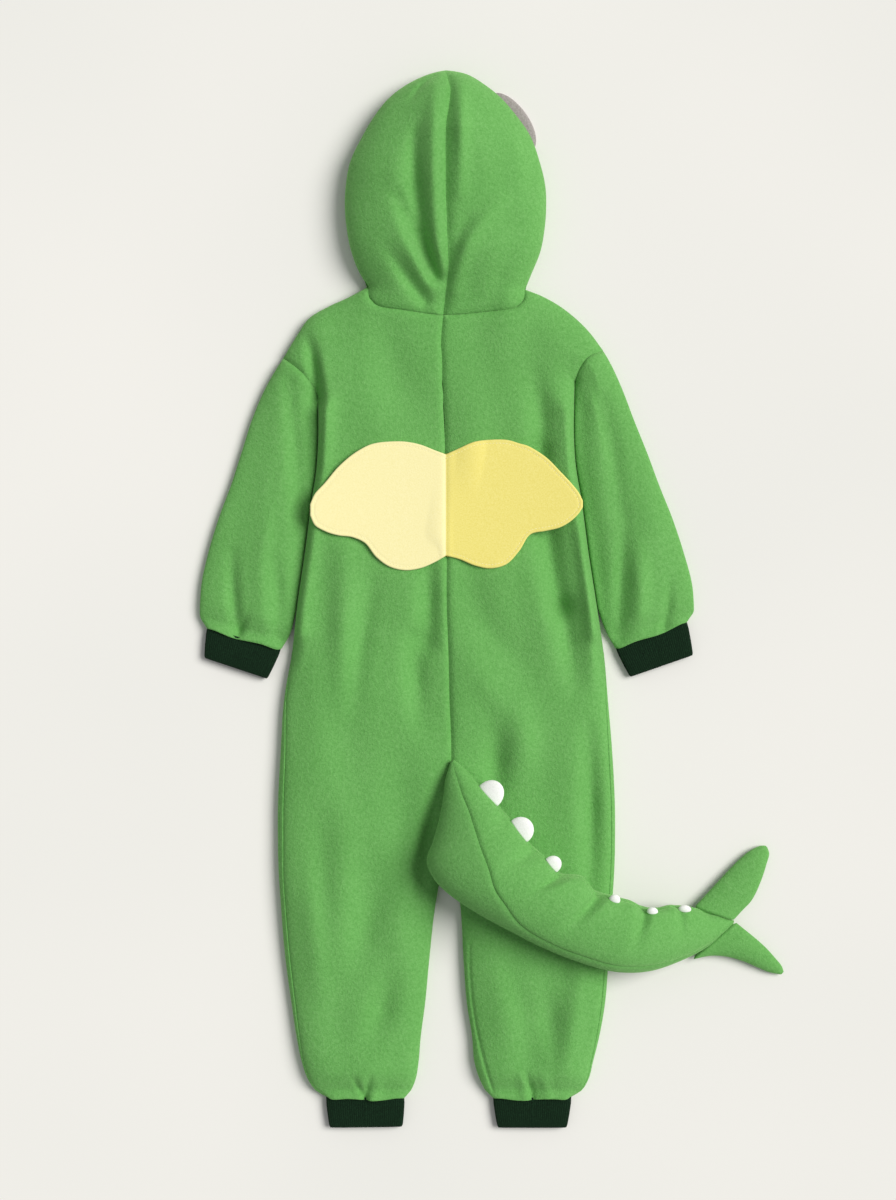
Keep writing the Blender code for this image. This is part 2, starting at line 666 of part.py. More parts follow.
def sleeve(side):
    """A sleeve as one tube, flat below and crowned above, from the armhole to its cuff."""
    outer, inner = sleeve_rows(side)
    gap = np.full(len(outer), CREASE / 2)
    gap[-1] = 0.0
    inner = trim(inner, outer, gap)
    over = row_points(outer, inner, FROM_EDGE, SLEEVE_EVEN, FROM_EDGE)
    under = row_points(inner, outer, UNDER_EDGE, UNDER_EVEN, UNDER_EDGE)[:, 1:-1]
    seam = armhole_line(side)
    for grid in (over, under):
        share = np.linalg.norm(grid[0] - outer[0], axis=-1) / np.linalg.norm(inner[0] - outer[0])
        grid[0] = along_line(seam, share)
    middle = ((outer + inner) / 2)[:, None]
    p0, n0 = cloth(over, middle - over, True)
    p1, n1 = cloth(under, middle - under, False)
    wall("sleeve_" + side, "fleece", np.concatenate([p0, p1], axis=1),
         np.concatenate([n0, n1], axis=1), CLOTH, closed=True)


def armhole_line(side):
    """The armhole seam on the sleeve's side of it, from the shoulder tip down."""
    edge = pairs(BODY[side], "edge_x", "edge_y")[SHOULDER_TIP:ARMHOLE_END + 1].copy()
    outer, inner = sleeve_rows(side)
    away = (outer[1] + inner[1]) / 2 - (outer[0] + inner[0]) / 2
    return edge + away / np.linalg.norm(away) * ARMHOLE_GAP


def along_line(line, share):
    """Points at the given shares of a polyline's length."""
    length = np.concatenate([[0.0], np.cumsum(np.linalg.norm(np.diff(line, axis=0), axis=-1))])
    at = share * length[-1]
    return np.stack([np.interp(at, length, line[:, 0]), np.interp(at, length, line[:, 1])], axis=-1)


def hood_half(side):
    """Half of the hood, from its centre seam over the outline and under to the face opening."""
    sign = -1.0 if side == "left" else 1.0
    seam = pairs(HOOD_TABLE, "seam_x", "seam_y")
    edge = pairs(HOOD_TABLE, side + "_x", side + "_y")
    face = pairs(HOOD_TABLE, "face_x", "face_y") * [sign, 1.0]
    fade = np.clip(1.0 - seam[:, 1] / HOOD_NECK_FADE, 0.0, 1.0) ** 1.5
    seam = seam + [sign * SEAM / 2, 0.0]
    edge[-1, 0] += sign * SEAM / 2
    face[:, 0] = sign * np.maximum(np.abs(face[:, 0]), SEAM / 2)
    over = row_points(seam, edge, FROM_MIDDLE, BACK_EVEN, FROM_EDGE, neck_dip(False, fade))
    under = row_points(face, edge, UNDER_EDGE, UNDER_EVEN, UNDER_EDGE, neck_dip(True, fade))
    under = off_neck_seam(under)[:, -2::-1]
    over = off_neck_seam(over)
    p0, n0 = cloth(over, np.array(HOOD_MIDDLE) - over, True)
    p1, n1 = cloth(under, np.array(HOOD_MIDDLE) - under, False)
    for normal in (n0, n1):
        normal[-1, :, 0] = 0.0
    wall("hood_" + side, "fleece", np.concatenate([p0, p1], axis=1),
         np.concatenate([n0, n1], axis=1), CLOTH)


def flat_ring(start, end, low, high, count, square):
    """Closed rings between two plan points, each a rounded oval from low to high."""
    angle = np.linspace(0.0, 2.0 * np.pi, count, endpoint=False)
    across = 0.5 - 0.5 * np.sign(np.cos(angle)) * np.abs(np.cos(angle)) ** square
    up = np.sign(np.sin(angle)) * np.abs(np.sin(angle)) ** square
    plan = start[:, None] + across[:, None] * (end - start)[:, None]
    z = (low + high)[:, None] / 2 + (high - low)[:, None] / 2 * up
    return np.concatenate([plan, z[..., None]], axis=-1)


def cuff(name):
    """A rib cuff as a flat tube, open at both ends, with a soft roll at its free edge."""
    a0, b0, a1, b1 = [np.array(p, float) for p in CUFFS[name]]
    table = columns(CUFF_COLUMNS, CUFF_RINGS)
    share, swell = table["share"][:, None], table["swell"][:, None]
    start, end = a0 + share * (a1 - a0), b0 + share * (b1 - b0)
    way = (end - start) / np.linalg.norm(end - start, axis=-1, keepdims=True)
    down = (a1 + b1 - a0 - b0) / np.linalg.norm(a1 + b1 - a0 - b0)
    start, end = start - way * swell, end + way * swell
    high = HEM_TALL + table["high"]
    rings = flat_ring(start + down * SEAM, end + down * SEAM, table["low"], high, CUFF_POINTS, CUFF_SQUARE)
    wall(name, "rib", rings, ring_normals(rings), RIB, closed=True)


def wing_height(xy):
    """Height of the felt's lower face: on the back at the middle, standing off at the tips."""
    under, _ = cloth(xy, np.array([0.0, -200.0]) - xy, True)
    flat = BODY_TALL + SEAM + WING_RAISE * np.abs(xy[..., 0] / WING_SPAN) ** WING_CURVE
    inside = np.abs(xy[..., 0]) < WING_ON_BACK
    return np.maximum(flat, np.where(inside, under[..., 2] + SEAM, 0.0))


def wings():
    """The pair of wings, one piece of felt sewn down at its middle."""
    table = columns(WING_COLUMNS, WINGS)
    share = np.array(WING_SHARES)
    y = table["high"][:, None] + share * (table["low"] - table["high"])[:, None]
    x = np.broadcast_to(table["x"][:, None], y.shape)
    xy = np.stack([x, y], axis=-1)
    rim = np.ones_like(y)
    rim[:, (0, -1)] = rim[(0, -1), :] = 0.0
    low = wing_height(xy) + (1.0 - rim) * FELT_EDGE
    rows, cols = y.shape
    bottom = np.concatenate([xy, low[..., None]], axis=-1)
    top = np.concatenate([xy, (low + FELT - (1.0 - rim) * 2.0 * FELT_EDGE)[..., None]], axis=-1)
    count = rows * cols
    faces = grid_faces(rows, cols, 0, False, False) + grid_faces(rows, cols, count, False, True)
    border = [r * cols for r in range(rows)] + [(rows - 1) * cols + c for c in range(1, cols)]
    border += [r * cols + cols - 1 for r in range(rows - 2, -1, -1)] + list(range(cols - 2, 0, -1))
    for a, b in zip(border, border[1:] + border[:1]):
        faces.append([a, a + count, b + count, b])
    keep("wings", "wing_felt", np.concatenate([top.reshape(-1, 3), bottom.reshape(-1, 3)]), faces)


TAIL_TABLE = columns(TAIL_COLUMNS, TAIL)


def tail_at(row, turn):
    """Surface points of the tail at table rows and ring angles in degrees.

    The angle is 0 at the lower edge, 90 on top, 180 at the spine edge and 270 below.
    """
    row, turn = np.broadcast_arrays(np.asarray(row, float), np.radians(np.asarray(turn, float)))
    index = np.arange(len(TAIL))
    at = {name: np.interp(row, index, values) for name, values in TAIL_TABLE.items()}
    across = 0.5 - 0.5 * np.sign(np.cos(turn)) * np.abs(np.cos(turn)) ** TAIL_FULL
    x = at["low_x"] + across * (at["spine_x"] - at["low_x"])
    y = at["low_y"] + across * (at["spine_y"] - at["low_y"])
    widest = at["under"] + TAIL_WIDEST * at["thick"]
    above = (at["under"] + at["thick"] - widest) * np.abs(np.sin(turn)) ** TAIL_OVER
    below = (widest - at["under"]) * np.abs(np.sin(turn)) ** TAIL_BELOW
    return np.stack([x, y, widest + np.where(np.sin(turn) >= 0, above, -below)], axis=-1)


def tail_normal(row, turn):
    """Outward unit normal of the tail's surface."""
    row, turn = np.broadcast_arrays(np.asarray(row, float), np.asarray(turn, float))
    low, high = np.maximum(row - TAIL_ROW_STEP, 0.0), np.minimum(row + TAIL_ROW_STEP, len(TAIL) - 1.0)
    along = tail_at(high, turn) - tail_at(low, turn)
    round_ = tail_at(row, turn + TAIL_TURN_STEP) - tail_at(row, turn - TAIL_TURN_STEP)
    normal = np.cross(along, round_)
    return normal / np.linalg.norm(normal, axis=-1, keepdims=True)


def tail_panels():
    """The tail's three panels: the side that shows, the belly, and the side below."""
    row = np.arange(len(TAIL), dtype=float)
    width = np.hypot(TAIL_TABLE["spine_x"] - TAIL_TABLE["low_x"], TAIL_TABLE["spine_y"] - TAIL_TABLE["low_y"])
    gap = np.degrees(SEAM / (width / 2))
    cosine = 1.0 - 2.0 * TAIL_TABLE["seam"]
    belly = np.degrees(np.arccos(np.sign(cosine) * np.abs(cosine) ** (1 / TAIL_FULL)))
    thick = CLOTH * np.minimum(1.0, TAIL_TABLE["thick"] / TAIL_THIN)[:, None, None]
    spans = {
        "tail_side_shown": (belly + gap, TAIL_SPINE_TURN - gap, TAIL_SIDE_POINTS),
        "tail_side_under": (TAIL_SPINE_TURN + gap, TAIL_UNDER_TURN - gap, TAIL_SIDE_POINTS),
        "tail_belly": (TAIL_UNDER_TURN + gap - 360.0, belly - gap, TAIL_BELLY_POINTS),
    }
    for name, (start, end, count) in spans.items():
        turn = start[:, None] + np.linspace(0.0, 1.0, count) * (end - start)[:, None]
        rows = row[:, None] * np.ones(count)
        wall(name, "fleece", tail_at(rows, turn), tail_normal(rows, turn), thick)


def fin(name, rows):
    """A fin: padded, an oval ring at each row, closing at its tip."""
    table = columns(FIN_COLUMNS, rows)
    a, b = pairs(table, "a_x", "a_y"), pairs(table, "b_x", "b_y")
    half = table["thick"] / 2
    low = np.maximum(table["middle"] - half, 0.0)
    rings = flat_ring(a, b, low, table["middle"] + half, FIN_POINTS, FIN_SQUARE)
    solid_of_rings(name, "fleece", rings)


def dome(centre, out, along, half_length, stand, half_thick):
    """Rings of a rounded half disc that stands on a surface point."""
    side = np.cross(out, along)
    angle = np.linspace(0.0, 2.0 * np.pi, SPIKE_POINTS, endpoint=False)
    rings = []
    for c in np.radians(SPIKE_CLIMB):
        ring = (np.cos(c) * half_length * np.cos(angle)[:, None] * along
                + np.cos(c) * half_thick * np.sin(angle)[:, None] * side
                + np.sin(c) * stand * out)
        rings.append(centre + ring)
    return np.array(rings)


def spikes():
    """Six felt spikes in a row along the spine seam, smaller toward the tip."""
    for number, (row, turn, half_length, stand, half_thick) in enumerate(SPIKES, 1):
        point, out = tail_at(row, turn), tail_normal(row, turn)
        along = tail_at(row + SPIKE_ROW_STEP, turn) - tail_at(row - SPIKE_ROW_STEP, turn)
        along -= out * (along @ out)
        along /= np.linalg.norm(along)
        solid_of_rings(f"spike_{number}", "white_felt",
                       dome(point + out * SPIKE_CLEAR, out, along, half_length, stand, half_thick))


def ear(name, centre, turn):
    """A flat padded ear, tucked under the edge of the hood and lying on the surface."""
    turn = np.radians(turn)
    along, out = np.array([np.cos(turn), np.sin(turn)]), np.array([-np.sin(turn), np.cos(turn)])
    angle = np.linspace(0.0, 2.0 * np.pi, 20, endpoint=False)
    rings = []
    for share, height in EAR_RINGS:
        plan = (np.array(centre) + share * EAR_LONG * np.cos(angle)[:, None] * along
                + share * EAR_DEEP * np.sin(angle)[:, None] * out)
        hood, _ = cloth(plan, np.array(HOOD_MIDDLE) - plan, False)
        z = np.minimum(height, hood[..., 2] - EAR_CLEAR)
        rings.append(np.concatenate([plan, z[:, None]], axis=-1))
    solid_of_rings(name, "grey_felt", np.array(rings))


def zip_tape():
    """Tape behind the fronts with its closed chain between them, from neck to seat."""
    y = np.concatenate([np.linspace(ZIP_TOP - CLOTH, TAPE_HUMP_END, 11), np.linspace(TAPE_FLAT, ZIP_END, 5)])
    raised = lift(np.stack([np.zeros_like(y), y], axis=-1))
    half, low, high = ZIP_HALF - CHAIN_SLACK, CLOTH + TAPE_GAP, CLOTH + TAPE_GAP + TAPE_THICK
    section = [(-half, CHAIN_LOW), (half, CHAIN_LOW), (half, low), (TAPE_HALF, low),
               (TAPE_HALF, high), (-TAPE_HALF, high), (-TAPE_HALF, low), (-half, low)]
    rings = np.array([[(x, along, z + up) for x, z in section] for along, up in zip(y, raised)])
    solid_of_rings("zip_tape", "zip_tape", rings)


def slider():
    """The slider's plate under the chain, with the two lugs that hold the pull tab."""
    top = ZIP_LIFT - SEAM
    plate, half, inside = top - SLIDER_THICK, SLIDER_WIDE / 2, PULL_NECK / 2 + SEAM
    rings = []
    for y, lug in SLIDER:
        foot = plate - lug * LUG_DEEP
        rings.append([(x, SLIDER_Y + y * SLIDER_LONG / 2, z) for x, z in (
            (-half, top), (half, top), (half, foot), (inside, foot),
            (inside, plate), (-inside, plate), (-inside, foot), (-half, foot))])
    solid_of_rings("zip_slider", "zip_metal", np.array(rings))


def pull_tab():
    """The pull tab, lying along the zip, with its pivot between the slider's lugs."""
    low, high = PIVOT_Z - PULL_THICK / 2, PIVOT_Z + PULL_THICK / 2
    rings = []
    for along, half in PULL:
        y = SLIDER_Y + along
        rings.append([(-half, y, low), (half, y, low), (half, y, high), (-half, y, high)])
    solid_of_rings("zip_pull", "zip_metal", np.array(rings))


def material(name):
    """One plain finish for each kind of cloth or metal."""
    colour, rough = COLOURS[name]
    made = bpy.data.materials.new(name)
    made.use_nodes = True
    shader = made.node_tree.nodes["Principled BSDF"]
    shader.inputs["Base Color"].default_value = (*colour, 1.0)
    shader.inputs["Roughness"].default_value = rough
    shader.inputs["Metallic"].default_value = 1.0 if name == "zip_metal" else 0.0
    made.diffuse_color = (*colour, 1.0)
    return made


def place_pieces():
    """Makes the objects, with the middle of the garment's box at the origin. A piece that
    turns has its own origin on its pivot."""
    every = np.concatenate([points for _, points, _ in PIECES.values()])
    middle = (every.min(axis=0) + every.max(axis=0)) / 2
    middle[2] = 0.0
    finishes = {name: material(name) for name in COLOURS}
    for name, (finish, points, faces) in PIECES.items():
        origin = np.array(PIVOTS.get(name, middle))
        mesh = bpy.data.meshes.new(name)
        mesh.from_pydata(((points - origin) * MM).tolist(), [], faces)
        work = bmesh.new()
        work.from_mesh(mesh)
        bmesh.ops.remove_doubles(work, verts=work.verts, dist=WELD * MM)
        bmesh.ops.dissolve_degenerate(work, edges=work.edges, dist=WELD * MM / 2)
        bmesh.ops.recalc_face_normals(work, faces=work.faces)
        work.to_mesh(mesh)
        work.free()
        mesh.shade_smooth()
        mesh.set_sharp_from_angle(angle=np.radians(SHARP_EDGE))
        mesh.materials.append(finishes[finish])
        piece = bpy.data.objects.new(name, mesh)
        piece.location = (origin - middle) * MM
        bpy.context.scene.collection.objects.link(piece)


def main():
    for old in list(bpy.data.objects):
        bpy.data.objects.remove(old, do_unlink=True)
    for side in ("left", "right"):
        hood_half(side)
        back_panel(side)
        front_panel(side)
        sleeve(side)
    for name in CUFFS:
        cuff(name)
    wings()
    tail_panels()
    fin("fin_upper", FIN_UPPER)
    fin("fin_lower", FIN_LOWER)
    spikes()
    ear("ear_right", EAR_RIGHT, EAR_RIGHT_TURN)
    ear("ear_left", EAR_LEFT, EAR_LEFT_TURN)
    zip_tape()
    slider()
    pull_tab()
    place_pieces()


main()
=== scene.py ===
"""The looks of a child's fleece dragon onesie that lies flat with its back up.

Lengths are in millimetres until a mesh is made: x runs to the right, y to the hood and z up,
with the origin on the surface below the nape. The garment is one height field over its plan,
and its panels are stretches of that field, each a thin wall of cloth worked out on a grid.
"""

import bmesh
import bpy
import numpy as np
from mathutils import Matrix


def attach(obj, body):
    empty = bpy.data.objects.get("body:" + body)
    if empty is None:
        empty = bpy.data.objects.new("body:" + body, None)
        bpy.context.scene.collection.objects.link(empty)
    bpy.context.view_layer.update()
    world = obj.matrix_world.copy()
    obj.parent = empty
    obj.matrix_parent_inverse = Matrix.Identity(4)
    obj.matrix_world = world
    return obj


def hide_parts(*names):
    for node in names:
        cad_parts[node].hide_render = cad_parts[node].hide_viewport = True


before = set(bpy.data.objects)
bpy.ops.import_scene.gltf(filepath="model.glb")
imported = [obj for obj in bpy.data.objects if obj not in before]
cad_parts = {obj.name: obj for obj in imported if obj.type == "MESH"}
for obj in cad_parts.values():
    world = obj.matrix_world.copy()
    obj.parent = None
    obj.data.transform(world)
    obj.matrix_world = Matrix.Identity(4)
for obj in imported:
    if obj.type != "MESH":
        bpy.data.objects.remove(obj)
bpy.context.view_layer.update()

MM = 0.001
PLACE = np.array([-50.5, 311.65, 0.0])     # from the nape to the middle of the laid garment

# Cloth walls and seams
FLEECE, FELT, RIB = 2.0, 3.0, 2.2
SEAM = 0.12            # gap between two sewn pieces
SIDE_GAP = 0.12        # half the gap between the body's side and the sleeve beside it
ARMHOLE_GAP = 0.12
STITCH_DEEP, STITCH_WIDE = 3.2, 3.4        # how a seam pulls the cloth in on each side
SIDE_SEAM_DEEP, SIDE_SEAM_WIDE = 1.2, 2.0
HOOD_SEAM_DEEP, HOOD_SEAM_WIDE = 6.0, 6.5
SEAM_FOOT = 1.3        # power that gives such a pull its sharp foot

# How high the laid cloth stands: crown, height of the outline, and the plan width over which
# it rounds off above and below that height
TALL = {"body": 24.0, "hood": 50.0, "hem": 11.0}
WIDEST = {"body": 8.0, "hood": 16.0, "hem": 5.0}
REACH = {"body": 42.0, "hood": 68.0, "hem": 9.0}
TUCK = {"body": 12.0, "hood": 20.0, "hem": 5.0}
HEM_EASE = 30.0        # over how much length a leg or sleeve swells from its cuff
FOLD_AT_HEM = 0.6      # share of a fold's height that is left at a cuff
# Cloth gathered over a cuff: how long the bulge is, how far it hangs over and stands up, and
# the number, share and start of the waves in it
HEM_PUFF, HEM_HANG, HEM_STAND = 10.0, 2.6, 4.2
HEM_WAVES, HEM_SWAY, HEM_START, HEM_ROUND = 2.6, 0.4, 0.8, 0.7
HOOD_FROM, HOOD_EASE = -5.0, 85.0          # where the hood starts to rise, and over what length
NECK_FADE, HOOD_NECK_FADE, HOOD_CORNER_FADE = 50.0, 60.0, 9.0      # how far the neck seam's dip reaches
CORNER_FROM, CORNER_EASE = 0.7, 0.25       # shares of a row where the corner's own fading takes over

# Grid pitches
ROW_PITCH, HOOD_PITCH, UNDER_PITCH, OUTLINE_PITCH = 3.8, 3.04, 8.0, 6.0
OUTLINE_SLIP = 1.5     # how far a row's end may stand off the outline's straight pieces
BACK_COLUMNS, HOOD_COLUMNS, SLEEVE_COLUMNS, UNDER_COLUMNS, WRAP_COLUMNS = 84, 84, 72, 22, 6
CROWDING = 0.85        # how much closer the columns stand at the ends of a row
PROBE = 0.05           # how far inside the outline a normal is worked out

# Front opening
ZIP_HALF, ZIP_TOP, ZIP_END, ZIP_LIFT = 3.2, -28.0, -478.0, 6.5
ZIP_CLOSING, ZIP_CLOSING_EASE, NECK_DROP_END = 40.0, 30.0, -90.0
# Teeth of the zip: spacing, length, width, height, and how far a row is off the middle
TOOTH_PITCH, TOOTH_LONG, TOOTH_WIDE, TOOTH_TALL, TOOTH_OFF, TOOTH_LOW = 2.4, 1.2, 3.0, 0.6, 1.1, 0.05
CHAIN_FROM, CHAIN_PAST = 26.0, 6.0         # where the chain starts and stops, from the zip's ends

# Body rows: side, middle, and how far in from the side its seam shows on the back
BODY_LEFT = [
    (-86, 32, -3, 0, 0), (-106, 21, -4, -12, 0), (-128, 11, -5, -24, 0), (-150, -2, -5, -36, 0),
    (-165, -23, -4, -50, 0), (-179, -46, -4, -64, 0), (-161, -60, -4, -76, 0), (-146, -77, -3, -88, 0),
    (-141, -90, -3, -100, 0), (-141, -136, -1, -142, 0), (-143, -169, -1, -172, 0),
    (-148, -202, 0, -204, 0), (-156, -263, 1, -264, 0), (-164, -318, 1, -318, 0),
    (-170, -373, 3, -373, 0), (-178, -420, 4, -420, 2), (-182, -480, 6, -480, 5),
    (-185, -540, 4, -535, 6), (-185, -590, 3, -587, 6), (-184, -615, -5, -614, 5),
    (-182, -645, -11, -645, 5), (-177, -705, -18, -705, 5), (-170, -757, -23, -757, 4),
    (-164, -796, -28, -796, 3), (-159, -820, -30, -820, 2), (-151, -842, -34, -842, 2),
    (-143, -853, -39, -853, 2), (-133, -859, -45, -859, 2),
]
BODY_RIGHT = [
    (87, 29, -3, 0, 0), (105, 22, -4, -12, 0), (125, 11, -5, -24, 0), (142, -2, -5, -36, 0),
    (158, -18, -4, -50, 0), (173, -38, -4, -60, 0), (156, -46, -4, -70, 0), (146, -60, -3, -80, 0),
    (142, -72, -3, -90, 0), (141, -130, -1, -134, 0), (143, -164, -1, -166, 0),
    (149, -200, 0, -202, 0), (157, -260, 1, -262, 0), (166, -318, 1, -318, 0),
    (174, -373, 3, -373, 0), (178, -420, 4, -420, 2), (183, -480, 6, -480, 4),
    (186, -540, 4, -535, 4), (186, -590, 3, -587, 4), (185, -615, 9, -614, 4),
    (183, -645, 15, -645, 4), (179, -705, 19, -705, 4), (175, -757, 23, -757, 4),
    (168, -796, 29, -796, 3), (162, -820, 31, -820, 2), (156, -842, 38, -842, 2),
    (149, -853, 44, -853, 2), (139, -859, 51, -859, 2),
]
# The sleeves lie lower than the body and round off more slowly, from this far below the armhole
SLEEVE_SINK, SLEEVE_BROAD, SLEEVE_SINK_EASE = 4.5, 1.55, 70.0
CAP_ROWS = 10          # grid rows over which a sleeve's rows straighten from the armhole seam
# Body rows, counted from 0, where these stand
SHOULDER_TIP, ARMHOLE_END, SLEEVE_CLEAR, CROTCH = 5, 8, 14, 18

# Sleeve rows: outer edge, and the height at which the row meets the body's side. The last two
# draw in to the cuff and have both ends.
SLEEVE_LEFT = [
    (-179, -46, -90), (-186, -57, -98), (-198, -78, -112), (-212, -110, -136), (-225, -150, -166),
    (-237, -187, -200), (-250, -222, -233), (-261, -258, -266), (-269, -294, -298), (-271, -318, -324),
]
SLEEVE_RIGHT = [
    (173, -38, -72), (181, -52, -84), (193, -78, -104), (206, -112, -132), (222, -152, -164),
    (235, -187, -196), (249, -222, -230), (261, -258, -262), (271, -296, -296), (273, -318, -322),
]
SLEEVE_ENDS_LEFT = [(-270, -333, -172, -351), (-264, -342, -181, -366)]
SLEEVE_ENDS_RIGHT = [(272, -327, 177, -349), (266, -335, 186, -365)]

# Hood rows from the neck to the crown: seam on the back, left edge, right edge, face opening
HOOD = [
    (-3, 0, -86, 32, 87, 29, 3.2, -28), (0, 24, -96, 49, 94, 46, 14, -10),
    (3, 50, -104, 70, 103, 68, 30, 8), (2, 78, -109, 95, 108, 93, 48, 38),
    (1, 106, -111, 119, 110, 118, 57, 72), (0, 134, -110, 143, 109, 142, 60, 104),
    (0, 162, -105, 169, 103, 168, 57, 130), (0, 186, -92, 196, 92, 198, 50, 152),
    (1, 208, -79, 218, 75, 222, 40, 168), (4, 228, -63, 238, 60, 239, 30, 179),
    (5, 244, -45, 252, 44, 252, 19, 186), (2, 258, -23, 263, 24, 264, 9, 190),
    (0, 270, 0, 270, 0, 270, 0, 191),
]
HOOD_AIM = np.array([0.0, -20.0])          # a point that the hood's outline faces all round
# Dip of the neck seam below a straight row: share of the row, on the back, on the front
NECK_DIP = [(0, 0, 0), (0.2, -5, -10), (0.5, -11, -17), (0.8, -17, -15), (0.95, -14, -6), (1, 0, 0)]

# Creases: start, middle and end of a bent line, half width, and height at those three places.
# A trough is negative, and the gain raises them all. Most follow a crease that shows. A few soft
# ones, where the cloth shows none clearly, are guesses.
FOLD_GAIN = 1.7
HOOD_FOLDS = [
    (-30, 212, -33, 140, -14, 42, 8.0, -0.6, -6.0, -4.5),
    (-13, 246, -13, 140, -7, 50, 8.0, 1.6, 3.4, 1.6),
    (16, 252, 17, 200, 15, 130, 8.5, 1.5, 4.8, 1.6),
    (-52, 200, -56, 150, -50, 100, 13.0, 0.5, 2.4, 0.8),
    (80, 214, 94, 180, 92, 125, 10.0, -1.5, -5.5, -2.0),
    (60, 120, 22, 72, 9, 30, 10.0, 1.5, 3.8, 2.6),
    (22, 100, 10, 66, 7, 34, 9.0, -1.0, -3.2, -1.6),
    (-53, 126, -34, 88, -10, 42, 9.0, -2.0, -5.4, -4.0),
    (-54, 96, -36, 62, -17, 32, 8.0, 0.5, 3.0, 2.5),
    (-66, 72, -42, 40, -24, 16, 8.0, -1.0, -5.0, -3.5),
    (-13, 262, -29, 247, -38, 232, 4.0, -2.5, -3.0, -0.5),
    (75, 70, 60, 40, 52, 10, 12.0, -0.5, -2.5, -1.5),
    (6, 258, 8, 200, 6, 120, 38.0, 2.0, 7.5, 2.0),
    (-70, 200, -80, 150, -76, 95, 16.0, 0.5, 2.5, 0.5),
]
BODY_FOLDS = [
    (-153, -26, -145, -52, -141, -92, 6.5, -2.0, -7.0, -8.0),
    (-138, -50, -132, -95, -134, -160, 8.0, 1.0, 3.0, 1.0),
    (-60, -40, -36, -88, -14, -150, 24.0, -0.5, -2.5, -1.0),
    (98, -70, 104, -110, 104, -150, 13.0, -1.5, -6.0, -4.0),
    (103, -150, 112, -250, 126, -320, 13.0, -4.0, -7.0, -7.0),
    (126, -320, 134, -360, 142, -410, 12.0, -6.0, -5.0, -1.0),
    (150, -240, 158, -320, 163, -400, 9.0, 2.0, 4.5, 1.5),
    (-18, -262, -19, -310, -20, -360, 12.0, -2.0, -6.0, -4.0),
    (-34, -356, -33, -400, -28, -455, 13.0, -4.0, -5.5, -1.0),
    (-111, -262, -113, -340, -112, -430, 15.0, 2.0, 4.5, 1.0),
    (-82, -296, -94, -360, -100, -430, 12.0, -1.5, -4.5, -1.0),
    (54, -450, 55, -490, 52, -535, 13.0, -1.0, -5.0, -1.5),
    (157, -456, 159, -540, 158, -640, 11.0, -2.0, -7.0, -2.0),
    (82, -430, 85, -465, 84, -500, 15.0, 1.0, 3.5, 1.0),
    (-4, -515, -20, -565, -25, -630, 9.0, -2.0, -7.0, -3.0),
    (-58, -715, -70, -760, -86, -800, 15.0, -1.0, -4.5, -1.5),
    (-110, -550, -114, -630, -112, -710, 18.0, 1.0, 3.5, 1.0),
    (110, -735, 114, -775, 121, -820, 14.0, -1.0, -4.5, -1.5),
    (-102, -834, -96, -847, -90, -858, 2.6, -0.3, -2.8, -3.6),
    (-82, -832, -86, -846, -89, -858, 2.4, -0.3, -2.4, -3.4),
    (-93, -828, -92, -842, -91, -850, 5.0, 0.0, 1.2, 1.0),
    (87, -828, 92, -845, 96, -858, 2.8, -0.3, -3.2, -4.2),
    (80, -826, 84, -844, 88, -856, 5.0, 0.0, 1.6, 1.8),
    (26, -690, 31, -769, 51, -850, 1.8, -0.8, -1.6, -1.6),
    (-70, -838, -76, -848, -82, -858, 5.0, 0.0, 2.0, 2.5),
    (104, -828, 108, -844, 112, -858, 6.0, 0.0, 2.0, 2.0),
    (-140, -150, -128, -100, -118, -40, 14.0, 0.5, 2.0, 0.5),
    (30, -300, 52, -350, 90, -392, 16.0, -0.5, -2.5, -0.5),
    (20, -360, 44, -405, 70, -440, 15.0, 0.5, 2.2, 0.5),
    (-60, -620, -92, -680, -98, -740, 16.0, -0.5, -2.5, -0.5),
    (-150, -560, -146, -650, -136, -740, 13.0, 0.5, 2.5, 1.0),
    (60, -700, 84, -760, 92, -812, 14.0, -0.5, -2.5, -1.5),
    (146, -690, 142, -760, 132, -820, 12.0, 0.5, 2.5, 1.0),
]
SLEEVE_FOLDS = [
    (-173, -72, -166, -146, -163, -220, 9.0, -1.5, -4.5, -3.0),
    (-235, -262, -234, -305, -229, -345, 7.0, -1.5, -5.0, -5.0),
    (-190, -262, -186, -300, -186, -350, 9.0, -1.0, -5.0, -4.0),
    (-219, -330, -223, -338, -228, -346, 4.0, -1.0, -3.0, -3.5),
    (196, -215, 193, -290, 190, -350, 9.0, -1.5, -6.0, -4.5),
    (172, -90, 184, -150, 190, -215, 10.0, -2.0, -4.0, -2.0),
    (246, -290, 244, -318, 240, -340, 6.0, -1.0, -4.0, -4.5),
    (-214, -150, -228, -220, -238, -300, 17.0, -0.5, -3.0, -1.0),
    (-196, -170, -198, -250, -200, -320, 12.0, 0.5, 2.5, 1.0),
    (214, -160, 228, -230, 236, -300, 16.0, 0.5, 3.0, 1.0),
    (212, -250, 214, -290, 212, -345, 9.0, 0.5, 2.5, 2.0),
]

# Slack of the laid cloth: long waves, each with its length, direction in degrees and start
WAVES = [(52, 8, 0.4), (71, -16, 2.1), (93, 24, 4.0), (118, 160, 5.2), (140, 74, 1.1), (104, 41, 3.3)]
WAVE_HEIGHT = 1.35

# The body's edge over the sleeve: where it starts and ends, how much tighter both turn down
# there, and height, place and half width of the ridge inside the side and the trough outside it
EDGE_TOP, EDGE_END, EDGE_EASE = -72.0, -405.0, 38.0
EDGE_TIGHT, EDGE_BLEND = 0.26, 20.0
EDGE_BELLS = [(2.5, -9.0, 8.0), (-8.0, 6.0, 13.0)]

